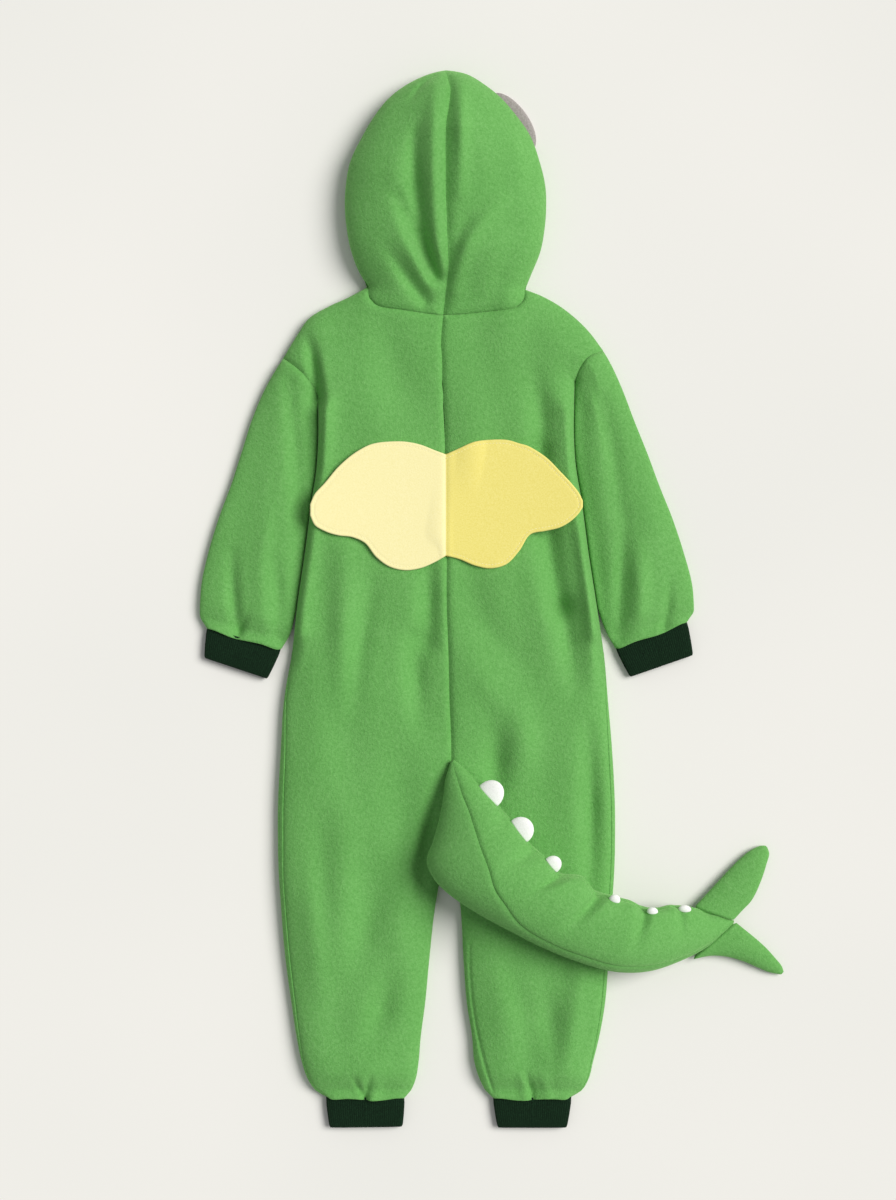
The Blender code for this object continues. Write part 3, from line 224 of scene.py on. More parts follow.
# Ears: x, y and turn in degrees, half length, half depth, and the gap kept to the hood. Their
# rings have a share of that size and a height.
EARS = {"ear_right": (72.8, 214.4, -54.0), "ear_left": (-56, 205, 50.0)}
EAR_LONG, EAR_DEEP, EAR_CLEAR, EAR_POINTS = 38.0, 18.0, 0.7, 72
EAR_RINGS = [(0.93, 0.0), (0.985, 0.8), (1.0, 2.0), (0.995, 3.2), (0.97, 4.2), (0.9, 5.0),
             (0.8, 5.6), (0.6, 6.0), (0.4, 6.2), (0.2, 6.3)]

# What is tucked under the lower cloth and lifts it: x, y, radius, height
LIFTS = [(0, -56, 30, ZIP_LIFT), (-56, 205, 40, 7.2), (72.8, 214.4, 36, 6.0)]
LIFT_FLAT, LIFT_EASE = 0.55, 0.9

# Wings: x, upper edge, lower edge
WINGS = [
    (-148.5, -208, -220), (-143, -196, -231), (-133, -185, -237), (-117, -166, -242),
    (-102, -153, -244), (-89, -145, -250), (-76, -140.5, -266), (-62, -139, -276),
    (-45, -139, -280), (-29, -142, -278), (-12, -148.5, -271), (0, -153, -264), (15, -146, -268),
    (32, -139, -275), (48, -137, -278), (65, -137, -274), (80, -141, -259), (92, -145, -241),
    (109, -156, -237), (125, -172, -233), (138, -186, -225), (145, -195, -218), (149.5, -204, -211),
]
WING_CENTRE = 11       # row of the crease between the wings
WING_PITCH, WING_COLUMNS, STITCH_PITCH = 2.0, 40, 1.0
WING_RAISE, WING_SPAN, WING_CURVE = 6.0, 150.0, 1.8        # how the wings stand off toward their tips
WING_ON_BACK, WING_EASE = 135.0, 20.0      # where they leave the back, and over what width
WING_CREASE_DEEP, WING_CREASE_WIDE, WING_CREASE_FOOT = 1.3, 2.2, 1.2
# Line of stitches: distance in from the edge, least share of it, clear width at the middle, and
# how much longer than a stitch a jump is that gets none
WING_STITCH_IN, STITCH_LEAST, STITCH_CLEAR, STITCH_JUMP = 4.2, 0.93, 4.0, 1.1
WING_STITCH_DEEP, WING_STITCH_WIDE = 0.35, 0.9
STITCH_LONG, STITCH_STEP, STITCH_THICK, STITCH_SUNK = 2.6, 3.6, 0.45, 0.3
# Along a stitch: share of its length, share of its thickness, and height
STITCH_BAR = np.array([(0.0, 0.35, -0.25), (0.2, 1.0, 0.05), (0.8, 1.0, 0.05), (1.0, 0.35, -0.25)])

# Tail rows: lower edge, spine edge, height of its underside, thickness, place of the belly seam
TAIL = [
    (5, -489, 9, -487, 24.5, 6, 0.50), (0, -505, 20, -496, 24.5, 14, 0.52),
    (-3, -527, 36, -513, 24.5, 25, 0.50), (-7, -549, 54, -532, 24.5, 36, 0.52),
    (-14, -574, 71, -550, 24.5, 46, 0.54), (-21, -596, 89, -573, 24.5, 54, 0.55),
    (-14, -614, 106, -589, 24.5, 58, 0.50), (6, -634, 124, -608, 24.5, 60, 0.39),
    (35, -653, 145, -612, 24.5, 60, 0.26), (68, -671, 162, -627, 24.5, 58, 0.14),
    (103, -689, 183, -634, 24.5, 54, 0.10), (142, -705, 205, -642, 24.5, 50, 0.10),
    (183, -717, 227, -648, 19.0, 48, 0.10), (222, -718, 252, -646, 9.0, 46, 0.10),
    (257, -708, 273, -650, 3.0, 38, 0.07), (288, -693, 293, -656, 1.5, 26, 0.05),
    (306, -679, 308, -662, 2.0, 15, 0.05), (316, -669, 317, -665, 3.5, 8, 0.05),
]
TAIL_COLUMNS = "low_x low_y spine_x spine_y under thick seam".split()
TAIL_SPINE_TURN, TAIL_UNDER_TURN = 170.0, 332.0        # ring angles of the other two seams
# Powers of the ring across, above and below, share of the thickness at which it is widest, and
# the thickness under which its wall gets thinner
TAIL_FULL, TAIL_OVER, TAIL_BELOW, TAIL_WIDEST, TAIL_THIN = 0.9, 0.9, 0.6, 0.42, 14.0
TAIL_SEAM_DEEP, TAIL_SEAM_WIDE, TAIL_SLIM = 2.2, 2.4, 30.0
TAIL_PITCH, TAIL_SIDE_COLUMNS, TAIL_BELLY_COLUMNS = 2.6, 44, 30

# Puckers of the tail between its spikes: tail row, how far the spine edge comes in, how far the
# cloth sinks, half length in rows, and how far they run from the spine seam in degrees
PUCKER_SLANT, PUCKER_PAST = 0.7, 20.0      # rows that a pucker drifts, degrees past a seam
PUCKERS = [
    (3.6, 1.6, 5.0, 0.40, 70), (5.5, 2.6, 8.0, 0.36, 85), (7.2, 4.2, 11.0, 0.28, 90),
    (8.2, -1.6, -1.5, 0.36, 60), (9.3, 4.4, 12.0, 0.28, 110), (10.7, -1.6, -1.5, 0.34, 60),
    (11.5, 2.4, 11.0, 0.24, 105), (12.6, -1.0, -1.0, 0.30, 60), (13.1, 1.2, 7.0, 0.22, 95),
    (14.6, 1.2, 5.0, 0.35, 70),
]

# Fins: the two edges of each row, height of the middle and thickness
FIN_UPPER = [
    (274, -648.8, 316.5, -663.8, 12, 12), (290, -632, 325, -655, 10, 14), (307, -614, 337, -642, 9, 14),
    (323, -598, 347, -621, 8, 13), (337, -587, 353, -603, 7, 11), (347, -583, 356, -591, 5.5, 8),
    (352, -583, 354, -585, 5, 3),
]
FIN_LOWER = [
    (319.5, -667.5, 272.5, -707.5, 10, 12), (330, -676, 291, -704, 9, 14), (341, -685, 309, -705, 8.5, 14),
    (352, -695, 327, -710, 8, 13), (362, -706, 343, -717, 7, 11), (370, -716, 358, -723, 5.5, 8),
    (372, -722, 369, -725, 5, 3),
]
FIN_PITCH, FIN_POINTS = 2.5, 36
# A fin's root row: how far it runs into the tail, how much lower, thinner and narrower it is
FIN_ROOT, FIN_ROOT_LOW, FIN_ROOT_THIN, FIN_ROOT_IN = 5.0, 2.5, 0.6, 0.22

# Spikes: tail row, ring angle, half length, how far it stands out, half thickness
SPIKES = [
    (2.62, 172, 15, 17.5, 5.0), (4.55, 172, 14.5, 15.5, 5.0), (6.50, 172, 9.5, 11, 4.5),
    (10.1, 156, 6.2, 6.5, 4.0), (11.95, 156, 6.0, 5.0, 4.0), (13.45, 156, 7.0, 5.0, 4.0),
]
SPIKE_CLIMB = [-8.0, 0.0, 12.0, 25.0, 38.0, 50.0, 62.0, 73.0, 82.0]    # ring heights in degrees
SPIKE_OFF, SPIKE_ROWS, SPIKE_TURN = 0.4, 0.15, 3.0     # stand off the seam, steps along and round it
SPIKE_POINTS = 40

# Cuffs: the two ends of the seam, then the two ends of the free edge
CUFFS = {
    "cuff_wrist_left": [(-263, -342.5), (-182, -366.5), (-266, -376), (-197, -399)],
    "cuff_wrist_right": [(187, -365.5), (265, -335.5), (203, -397), (272, -373)],
    "cuff_ankle_left": [(-132, -859.4), (-46, -859.4), (-128, -893), (-48, -892)],
    "cuff_ankle_right": [(52, -859.4), (138, -859.4), (57, -893), (133, -893)],
}
CUFF_TALL, CUFF_SQUARE = 11.0, 0.45
CUFF_ROWS = [0.0, 0.05, 0.12, 0.22, 0.34, 0.46, 0.58, 0.70, 0.80, 0.88, 0.94, 0.975, 1.0]
# By the share of a cuff's length: how far its sides swell, how far its top does, its underside
CUFF_SIDES = [(0.0, 0.0), (0.2, 0.8), (0.6, 0.8), (0.93, 0.4), (1.0, -0.6)]
CUFF_TOP = [(0.0, 0.0), (0.2, 0.6), (0.6, 0.6), (0.93, 0.2), (1.0, -0.9)]
CUFF_UNDER = [(0.0, 0.3), (0.2, 0.0), (0.93, 0.0), (1.0, 0.9)]
RIB_PITCH, RIB_DEEP, RIB_POINTS = 2.4, 0.4, 6


# Curves and grids

def curve(table, pitch, corners=()):
    """A table's rows joined by smooth curves, with points about a pitch apart.

    Between two rows each column is a cubic whose slope at a row is the mean of the two chords
    there, each weighted by the other's length. At a corner the slope is that of one chord. The
    last column that is returned is the place in the table, counted in rows.
    """
    table = np.asarray(table, float)
    step = np.linalg.norm(np.diff(table, axis=0), axis=1)
    at = np.concatenate([[0.0], np.cumsum(step)])
    chord = np.diff(table, axis=0) / step[:, None]
    before, after = np.vstack([chord[:1], chord]), np.vstack([chord, chord[-1:]])
    back, on = np.append(step[0], step)[:, None], np.append(step, step[-1])[:, None]
    leave = (before * on + after * back) / (back + on)
    arrive = leave.copy()
    corners = list(corners)
    arrive[corners], leave[corners] = before[corners], after[corners]
    stops = [0, *corners, len(table) - 1]
    spans = [np.linspace(at[a], at[b], max(2, int(np.ceil((at[b] - at[a]) / pitch)) + 1))[:-1]
             for a, b in zip(stops[:-1], stops[1:]) if b > a]
    s = np.append(np.concatenate(spans), at[-1])
    i = np.clip(np.searchsorted(at, s, side="right") - 1, 0, len(step) - 1)
    h, f = step[i][:, None], ((s - at[i]) / step[i])[:, None]
    points = ((2 * f**3 - 3 * f**2 + 1) * table[i] + (f**3 - 2 * f**2 + f) * h * leave[i]
              + (3 * f**2 - 2 * f**3) * table[i + 1] + (f**3 - f**2) * h * arrive[i + 1])
    return np.column_stack([points, i + f[:, 0]])


def smooth(t):
    """A soft step from 0 to 1: 3t^2 - 2t^3."""
    t = np.clip(t, 0.0, 1.0)
    return t * t * (3.0 - 2.0 * t)


def mix(a, b, t):
    """The value a share t of the way from a to b."""
    return a + (b - a) * t


def crowded(count):
    """Shares from 0 to 1 that stand closer at both ends: u - c sin(2 pi u) / 2 pi."""
    u = np.linspace(0.0, 1.0, count)
    return u - CROWDING * np.sin(2.0 * np.pi * u) / (2.0 * np.pi)


def between(start, end, share):
    """A grid of plan points: each row runs from its start to its end by the shares."""
    return start[:, None] + share[None, :, None] * (end - start)[:, None]


def unit(v):
    """Vectors brought to length 1."""
    return v / np.maximum(np.linalg.norm(v, axis=-1, keepdims=True), 1e-9)


def trim(points, toward, gap):
    """Points moved by a gap toward others."""
    return points + unit(toward - points) * np.asarray(gap)[..., None]


def lengths(line):
    """Length of a line of points up to each of them."""
    return np.concatenate([[0.0], np.cumsum(np.linalg.norm(np.diff(line, axis=0), axis=-1))])


def along_line(line, at):
    """Plan points at the given lengths along a line."""
    return np.stack([np.interp(at, lengths(line), line[:, k]) for k in (0, 1)], axis=-1)


def profile(at, table):
    """Values at the given places, straight between a table's pairs of place and value."""
    return np.interp(at, *np.transpose(table))


def power(value, exponent):
    """The value's size to a power, with the value's sign."""
    return np.sign(value) * np.abs(value) ** exponent


def turns(count):
    """Angles evenly apart over a full turn."""
    return np.linspace(0.0, 2.0 * np.pi, count, endpoint=False)


def fading(share):
    """1 at a share of 1 or more and 0 at 0, by share^1.5."""
    return np.clip(share, 0.0, 1.0) ** 1.5


def bell(far, wide, foot=2):
    """1 at no distance, dying out as exp(-(distance / width)^foot)."""
    return np.exp(-(far / wide) ** foot)


BODY = {side: curve(rows, ROW_PITCH, (SHOULDER_TIP, ARMHOLE_END, CROTCH))
        for side, rows in (("left", BODY_LEFT), ("right", BODY_RIGHT))}
SLEEVE = {"left": (SLEEVE_LEFT, SLEEVE_ENDS_LEFT), "right": (SLEEVE_RIGHT, SLEEVE_ENDS_RIGHT)}
SIGN = {"left": -1.0, "right": 1.0}


def side_point(side, y):
    """The point of the body's side at height y, below the armhole."""
    body = BODY[side][BODY[side][:, -1] >= ARMHOLE_END]
    return np.stack([np.interp(-y, -body[:, 1], body[:, 0]), y], axis=-1)


def sleeve_rows(side, pitch):
    """Outer and inner end of each sleeve row, from the armhole to the cuff."""
    rows, ends = SLEEVE[side]
    rows = np.asarray(rows, float)
    inner = side_point(side, rows[:, 2])
    table = np.vstack([np.column_stack([rows[:, :2], inner]), ends])
    line = curve(table, pitch, (len(rows) - 1,))
    on_body = line[:, -1] <= len(rows) - 1
    outer, inner = line[:, :2], line[:, 2:4].copy()
    inner[on_body] = side_point(side, inner[on_body, 1])
    return outer, inner


def outline():
    """Every line at which the cloth turns under: start, end and half the gap kept to it."""
    found = []

    def add(points, gap=0.0):
        found.append(np.column_stack([points[:-1], points[1:], np.full(len(points) - 1, gap)]))

    for side, rows in (("left", BODY_LEFT), ("right", BODY_RIGHT)):
        line = curve(rows, OUTLINE_PITCH, (SHOULDER_TIP, ARMHOLE_END, CROTCH))
        row = line[:, -1]
        outer, inner = sleeve_rows(side, OUTLINE_PITCH)
        add(line[row <= SHOULDER_TIP, :2])
        add(outer)
        add(inner[inner[:, 1] <= BODY_LEFT[SLEEVE_CLEAR - 1][1]], SIDE_GAP)
        add(line[(row >= ARMHOLE_END) & (row <= SLEEVE_CLEAR), :2], SIDE_GAP)
        add(line[row >= SLEEVE_CLEAR, :2])
        add(line[row >= CROTCH, 2:4])
    hood = curve(HOOD, OUTLINE_PITCH)
    add(hood[:, 2:4])
    add(hood[:, 4:6])
    return np.vstack(found)


OUTLINE = outline()
HEMS = np.array([(*ends[0], *ends[1], 0.0) for ends in CUFFS.values()])


def nearest(xy, lines, block=3000):
    """Distance from each point to the nearest segment less its gap, that segment's number, and
    the share along it, held between 0 and 1. Points are taken a block at a time."""
    flat = xy.reshape(-1, 2)
    start, along, gap = lines[:, :2], lines[:, 2:4] - lines[:, :2], lines[:, 4]
    long = np.maximum((along * along).sum(-1), 1e-9)
    parts = []
    for points in np.array_split(flat, max(1, len(flat) // block)):
        x, y = points[:, :1] - start[:, 0], points[:, 1:] - start[:, 1]
        share = np.clip((x * along[:, 0] + y * along[:, 1]) / long, 0.0, 1.0)
        far = np.hypot(x - share * along[:, 0], y - share * along[:, 1]) - gap
        pick = far.argmin(axis=1)
        rows = np.arange(len(points))
        parts.append(np.stack([np.maximum(far[rows, pick], 0.0), pick, share[rows, pick]]))
    found = np.concatenate(parts, axis=1).reshape(3, *xy.shape[:-1])
    return found[0], found[1].astype(int), found[2]


def folds(xy, rows, bends=10):
    """The sum of the creases. Each is a quadratic curve from its start to its end, and its
    section is a bell, height * exp(-(distance / width)^2), whose height changes along it."""
    total = np.zeros(xy.shape[:-1])
    t = np.linspace(0.0, 1.0, bends + 1)[:, None]
    for x0, y0, x1, y1, x2, y2, width, *heights in rows:
        a, c = np.array([x0, y0]), np.array([x2, y2])
        b = 2.0 * np.array([x1, y1]) - (a + c) / 2.0
        line = (1 - t)**2 * a + 2 * t * (1 - t) * b + t**2 * c
        low, high = line.min(0) - 3.0 * width, line.max(0) + 3.0 * width
        inside = ((xy >= low) & (xy <= high)).all(-1)
        if inside.any():
            segments = np.column_stack([line[:-1], line[1:], np.zeros(bends)])
            far, pick, share = nearest(xy[inside], segments)
            height = np.interp((pick + share) / bends, (0.0, 0.5, 1.0), heights)
            total[inside] += FOLD_GAIN * height * bell(far, width)
    return total


ALL_FOLDS = HOOD_FOLDS + BODY_FOLDS + SLEEVE_FOLDS


def softness(xy):
    """The slack of laid fleece: a sum of long, low sine waves that run in different ways."""
    total = np.zeros(xy.shape[:-1])
    for long, way, start in WAVES:
        turn = np.radians(way)
        along = xy[..., 0] * np.cos(turn) + xy[..., 1] * np.sin(turn)
        total += np.sin(2.0 * np.pi * along / long + start)
    return WAVE_HEIGHT * total / np.sqrt(len(WAVES))


def beside_sleeve(xy):
    """1 at the heights where the body's side lies over the sleeve, softly 0 above and below."""
    return smooth((EDGE_TOP - xy[..., 1]) / EDGE_EASE) * smooth((xy[..., 1] - EDGE_END) / EDGE_EASE)


def body_edge(xy):
    """How the body's edge lies over the sleeve: bells of the distance beyond the side, a ridge
    on the body alone and a trough on the sleeve alone."""
    total = np.zeros(xy.shape[:-1])
    for side, sign in SIGN.items():
        beyond = sign * (xy[..., 0] - side_point(side, xy[..., 1])[..., 0])
        for height, place, wide in EDGE_BELLS:
            own = (beyond <= 0.0) == (place <= 0.0)
            total += own * height * bell(beyond - place, wide)
    return total * beside_sleeve(xy)


def lift(xy):
    """How far the lower cloth is lifted by what is tucked under it."""
    total = np.zeros(xy.shape[:-1])
    for x, y, radius, height in LIFTS:
        far = np.hypot(xy[..., 0] - x, xy[..., 1] - y)
        total = np.maximum(total, height * (1.0 - smooth((far / radius - LIFT_FLAT) / LIFT_EASE)))
    return total


def cloth(xy, top, inward=None, broad=1.0):
    """Points of the upper or the lower cloth over the plan points xy.

    Above, z = widest + (tall + folds - widest) * sin(a), where 1 - cos(a) is the distance from
    the outline over the reach. Below, z = widest * (1 - sin(a)) with the tuck as the reach.
    With inward, the plan directions into the cloth, it also gives the normals of that rounding.
    broad widens the reach. Where the body lies beside a sleeve, the reach is tighter.
    """
    d = nearest(xy, OUTLINE)[0]
    hood = smooth((xy[..., 1] - HOOD_FROM) / HOOD_EASE)
    hem = smooth(nearest(xy, HEMS)[0] / HEM_EASE)

    def size(table):
        return mix(mix(table["hem"], table["body"], hem), table["hood"], hood)

    reach, widest = size(REACH if top else TUCK) * broad, size(WIDEST)
    if top:
        beside = OUTLINE[:, 4] > 0.0
        closer = nearest(xy, OUTLINE[~beside])[0] - nearest(xy, OUTLINE[beside])[0]
        reach = reach * mix(1.0, EDGE_TIGHT, beside_sleeve(xy) * smooth(closer / EDGE_BLEND))
    over = np.clip(d / reach, 0.0, 1.0)
    sine = np.sqrt(over * (2.0 - over))
    if top:
        swell = (folds(xy, ALL_FOLDS) + body_edge(xy) + softness(xy)) * mix(FOLD_AT_HEM, 1.0, hem)
        z = widest + (size(TALL) + swell - widest) * sine
    else:
        z = widest * (1.0 - sine) + lift(xy) * sine
    points = np.concatenate([xy, np.maximum(z, 0.0)[..., None]], axis=-1)
    if inward is None:
        return points
    inside = xy + PROBE * unit(inward)
    _, pick, share = nearest(inside, OUTLINE)
    start, end = OUTLINE[pick, :2], OUTLINE[pick, 2:4]
    away = unit(inside - start - share[..., None] * (end - start))
    outward = (d < OUTLINE_SLIP) & ((away * inward).sum(-1) < 0.0)
    away = np.where(outward[..., None], -away, away)
    steep = ((size(TALL) - widest) if top else widest) * (1.0 - over) / reach
    up = sine if top else -sine
    return points, unit(np.concatenate([-steep[..., None] * away, up[..., None]], axis=-1))


def seam_pull(far, deep=STITCH_DEEP, wide=STITCH_WIDE):
    """How far a seam pulls the cloth in at a distance from it: a bell with a sharp foot."""
    return deep * bell(far, wide, SEAM_FOOT)


# Meshes

def grid_quads(rows, cols, closed=False, first=0):
    """Corner numbers of a grid's quads."""
    r, c = np.meshgrid(np.arange(rows - 1), np.arange(cols if closed else cols - 1), indexing="ij")
    a, b = first + r * cols + c, first + r * cols + (c + 1) % cols
    return np.stack([a, b, b + cols, a + cols], axis=-1).reshape(-1, 4)


def grid_normals(grid, closed=False):
    """Unit normals of a grid by the cross product of its differences."""
    along = np.gradient(grid, axis=0)
    if closed:
        across = np.roll(grid, -1, axis=1) - np.roll(grid, 1, axis=1)
    else:
        across = np.gradient(grid, axis=1)
    return unit(np.cross(along, across))


def volume(points, quads):
    """Signed volume inside quads: the sum of the tetrahedra to the origin."""
    p = points[quads]
    halves = [(0, 1, 2), (0, 2, 3)]
    return sum(np.einsum("ij,ij->i", p[:, i], np.cross(p[:, j], p[:, k])).sum() for i, j, k in halves) / 6.0


def repeated(quads, corners, count):
    """Quads of one small shape with so many corners, repeated for each copy of it."""
    return (quads[None] + corners * np.arange(count)[:, None, None]).reshape(-1, 4)


def make(name, points, quads, material):
    """A mesh object from points in millimetres and quads, turned to face outward."""
    if volume(points, quads) < 0.0:
        quads = quads[:, ::-1]
    mesh = bpy.data.meshes.new(name)
    mesh.from_pydata(((points + PLACE) * MM).tolist(), [], quads.tolist())
    mesh.materials.append(material)
    mesh.validate()
    mesh.shade_smooth()
    piece = bpy.data.objects.new(name, mesh)
    bpy.context.scene.collection.objects.link(piece)
    return piece


def wall(name, outer, inner, material, closed=False):
    """A wall of cloth: its outer grid, its inner grid, and the rims between them."""
    rows, cols = outer.shape[:2]
    count = rows * cols
    quads = [grid_quads(rows, cols, closed), grid_quads(rows, cols, closed, count)[:, ::-1]]
    ends = np.arange(cols + 1) % cols if closed else np.arange(cols)
    for start, turned in ((0, False), ((rows - 1) * cols, True)):
        a, b = start + ends[:-1], start + ends[1:]
        rim = np.stack([a, a + count, b + count, b], axis=-1)
        quads.append(rim[:, ::-1] if turned else rim)
    if not closed:
        down = np.arange(rows) * cols
        for start, turned in ((0, True), (cols - 1, False)):
            a, b = start + down[:-1], start + down[1:]
            rim = np.stack([a, a + count, b + count, b], axis=-1)
            quads.append(rim[:, ::-1] if turned else rim)
    points = np.concatenate([outer.reshape(-1, 3), inner.reshape(-1, 3)])
    return make(name, points, np.concatenate(quads), material)


def fleece_wall(name, outer, normal, closed=False):
    """A wall of green fleece inward of its outer grid."""
    return wall(name, outer, outer - FLEECE * normal, FLEECE_GREEN, closed)


def closed_rings(name, rings, material):
    """A filled piece: closed rings on a line, with its two ends drawn together to a point."""
    first, last = (ring.mean(axis=0) + np.zeros_like(ring) for ring in (rings[0], rings[-1]))
    rings = np.concatenate([first[None], rings, last[None]])
    piece = make(name, rings.reshape(-1, 3), grid_quads(*rings.shape[:2], closed=True), material)
    merge(piece)
    return piece


def merge(piece, near=0.01):
    """Welds the points that share a place."""
    work = bmesh.new()
    work.from_mesh(piece.data)
    bmesh.ops.remove_doubles(work, verts=work.verts, dist=near * MM)
    work.to_mesh(piece.data)
    work.free()


# Materials

def linear(code):
    """An sRGB hex colour as linear red, green, blue and alpha."""
    value = np.array([int(code[i:i + 2], 16) for i in (0, 2, 4)]) / 255.0
    value = np.where(value <= 0.04045, value / 12.92, ((value + 0.055) / 1.055) ** 2.4)
    return (*value.tolist(), 1.0)


def node(tree, kind, settings=None, **inputs):
    """Adds a node. settings are its attributes, and inputs are values or the outputs to link.
    An input's name has _ for a space, and a number after in_ picks it by place."""
    made = tree.nodes.new(kind)
    for name, value in (settings or {}).items():
        setattr(made, name, value)
    for name, value in inputs.items():
        numbered = name.startswith("in_")
        socket = made.inputs[int(name[3:]) if numbered else name.replace("_", " ")]
        if isinstance(value, bpy.types.NodeSocket):
            tree.links.new(value, socket)
        else:
            socket.default_value = value
    return made


def surface(name, **values):
    """A new material with its Principled shader set, and the object coordinates to paint by."""
    made = bpy.data.materials.new(name)
    made.use_nodes = True
    tree = made.node_tree
    shader = tree.nodes["Principled BSDF"]
    for key, value in values.items():
        shader.inputs[key.replace("_", " ")].default_value = value
    place = node(tree, "ShaderNodeTexCoord").outputs["Object"]
    return made, tree, shader, place


def ramp(tree, factor, *codes):
    """A colour ramp of sRGB hex colours, evenly from 0.3 to 0.7."""
    made = node(tree, "ShaderNodeValToRGB", Fac=factor)
    band = made.color_ramp.elements
    while len(band) < len(codes):
        band.new(1.0)
    for element, at, code in zip(band, np.linspace(0.3, 0.7, len(codes)), codes):
        element.position = at
        element.color = linear(code)
    return made.outputs["Color"]


def grains(tree, place, size_mm, detail, rough=0.5):
    """Noise whose grains have this size."""
    return node(tree, "ShaderNodeTexNoise", Vector=place, Scale=1000.0 / size_mm, Detail=detail,
                Roughness=rough).outputs["Fac"]


def finish(tree, shader, colour, height, strength, distance):
    """Links a colour, where there is one, and a relief of this height to the shader."""
    if colour is not None:
        tree.links.new(colour, shader.inputs["Base Color"])
    bump = node(tree, "ShaderNodeBump", Strength=strength, Distance=distance, Height=height)
    tree.links.new(bump.outputs["Normal"], shader.inputs["Normal"])


def fleece(name, dark, mid, light, tint):
    """Brushed polyester fleece: short curled fibres give a mottled nap, matt with a pale bloom
    where it turns away from the eye."""
    made, tree, shader, place = surface(
        name, Roughness=0.96, Sheen_Weight=0.8, Sheen_Roughness=0.45, Sheen_Tint=linear(tint),
        Specular_IOR_Level=0.1)
    nap = grains(tree, place, size_mm=3.4, detail=5.0, rough=0.62)
    tuft = grains(tree, place, size_mm=1.5, detail=3.0, rough=0.6)
    drift = grains(tree, place, size_mm=60.0, detail=2.0)
    blend = {"data_type": "FLOAT"}
    both = node(tree, "ShaderNodeMix", blend, Factor=0.4, in_2=nap, in_3=tuft).outputs[0]
    tone = node(tree, "ShaderNodeMix", blend, Factor=0.12, in_2=both, in_3=drift).outputs[0]
    finish(tree, shader, ramp(tree, tone, dark, mid, light), both, strength=0.9, distance=0.0016)
    return made


def felt(name, dark, mid, light):
    """Pressed felt: matted fibres, nearly even in colour, with a fine soft grain."""
    made, tree, shader, place = surface(name, Roughness=0.92, Sheen_Weight=0.2, Sheen_Roughness=0.5,
                                        Specular_IOR_Level=0.2)
    grain = grains(tree, place, size_mm=1.6, detail=4.0, rough=0.6)
    finish(tree, shader, ramp(tree, grain, dark, mid, light), grain, strength=0.25, distance=0.0006)
    return made, tree, shader, place, grain


def wing_felt():
    """Yellow craft felt with a painted highlight: the left wing is painted paler than the right, for the
    light and sheen on the half that tilts toward the light.
    """
    made, tree, shader, place, grain = felt("felt_yellow", "EEDF76", "F4E682", "F9EC8E")
    # Painted highlight and sheen: a paler ramp for the left wing, which tilts toward the light. The right
    # wing keeps the felt's deeper yellow.
    pale = ramp(tree, grain, "F8EDAC", "FBF1B4", "FEF5BC")
    deep = shader.inputs["Base Color"].links[0].from_socket
    side = node(tree, "ShaderNodeSeparateXYZ", Vector=place).outputs["X"]
    left = node(tree, "ShaderNodeMath", {"operation": "LESS_THAN"}, in_0=side, in_1=float(PLACE[0] * MM))
    painted_highlight_mix = node(tree, "ShaderNodeMix", {"data_type": "RGBA"}, in_0=left.outputs[0], in_6=deep, in_7=pale)
    tree.links.new(painted_highlight_mix.outputs[2], shader.inputs["Base Color"])
    return made


def rib_knit():
    """Rib knit of dark green cotton: fine raised lines that stretch, with dull shadows between."""
    made, tree, shader, place = surface("rib_knit_dark_green", Roughness=0.9, Sheen_Weight=0.06,
                                        Sheen_Roughness=0.5, Specular_IOR_Level=0.1)
    yarn = grains(tree, place, size_mm=1.1, detail=3.0)
    finish(tree, shader, ramp(tree, yarn, "091B0E", "0F2615", "18341F"), yarn, strength=0.4, distance=0.0005)
    return made


def plain(name, code, rough, metal=0.0, grain_mm=1.0, strength=0.1):
    """A simple finish with a fine grain in its relief and its roughness."""
    made, tree, shader, place = surface(name, Base_Color=linear(code), Roughness=rough, Metallic=metal)
    grain = grains(tree, place, grain_mm, detail=3.0)
    finish(tree, shader, None, grain, strength, distance=0.0003)
    worn = node(tree, "ShaderNodeMapRange", in_0=grain, in_3=rough * 0.85, in_4=min(1.0, rough * 1.12))
    tree.links.new(worn.outputs[0], shader.inputs["Roughness"])
    return made


FLEECE_GREEN = fleece("polyester_fleece_green", "5B9C4B", "6CAD5B", "7EBC6C", "A6D48F")
FLEECE_BELLY = fleece("polyester_fleece_green_belly", "599549", "68A558", "79B468", "A0CC8C")
RIB_GREEN = rib_knit()
# The wing felt carries a painted highlight on its left half.
WING_FELT = wing_felt()
WHITE_FELT = felt("felt_white", "F0F2EC", "F9FAF6", "FFFFFD")[0]
GREY_FELT = felt("felt_grey", "8C8581", "A19A97", "B0AAA7")[0]
THREAD = plain("polyester_thread_cream", "FFF9CF", 0.6)
TAPE = plain("woven_polyester_tape_green", "4F8A40", 0.75, grain_mm=0.8, strength=0.4)
ZIP_METAL = plain("nickel_plated_zinc", "B9BABD", 0.32, metal=1.0, grain_mm=0.6)
TEETH = plain("moulded_acetal_teeth_green", "3F7A33", 0.45)


# Panels

def neck_dip(share, front, fade, corner=None):
    """The dip of the neck seam at shares of a row, dying out over the rows next to it, and by
    another rule toward the seam's end where one is given."""
    line = curve(NECK_DIP, 0.5)
    fade = np.broadcast_to(fade[:, None], (len(fade), len(share)))
    if corner is not None:
        fade = mix(fade, corner[:, None], smooth((share - CORNER_FROM) / CORNER_EASE)[None, :])
    return np.interp(share, line[:, 0], line[:, 2 if front else 1])[None, :] * fade


def off_neck_seam(xy):
    """The first row moved off the neck seam by half the gap, toward the second."""
    way = unit(np.gradient(xy[0], axis=0))
    across = np.stack([way[:, 1], -way[:, 0]], axis=-1)
    across *= np.sign((across * (xy[1] - xy[0])).sum(-1, keepdims=True))
    xy[0] += across * SEAM / 2
    return xy


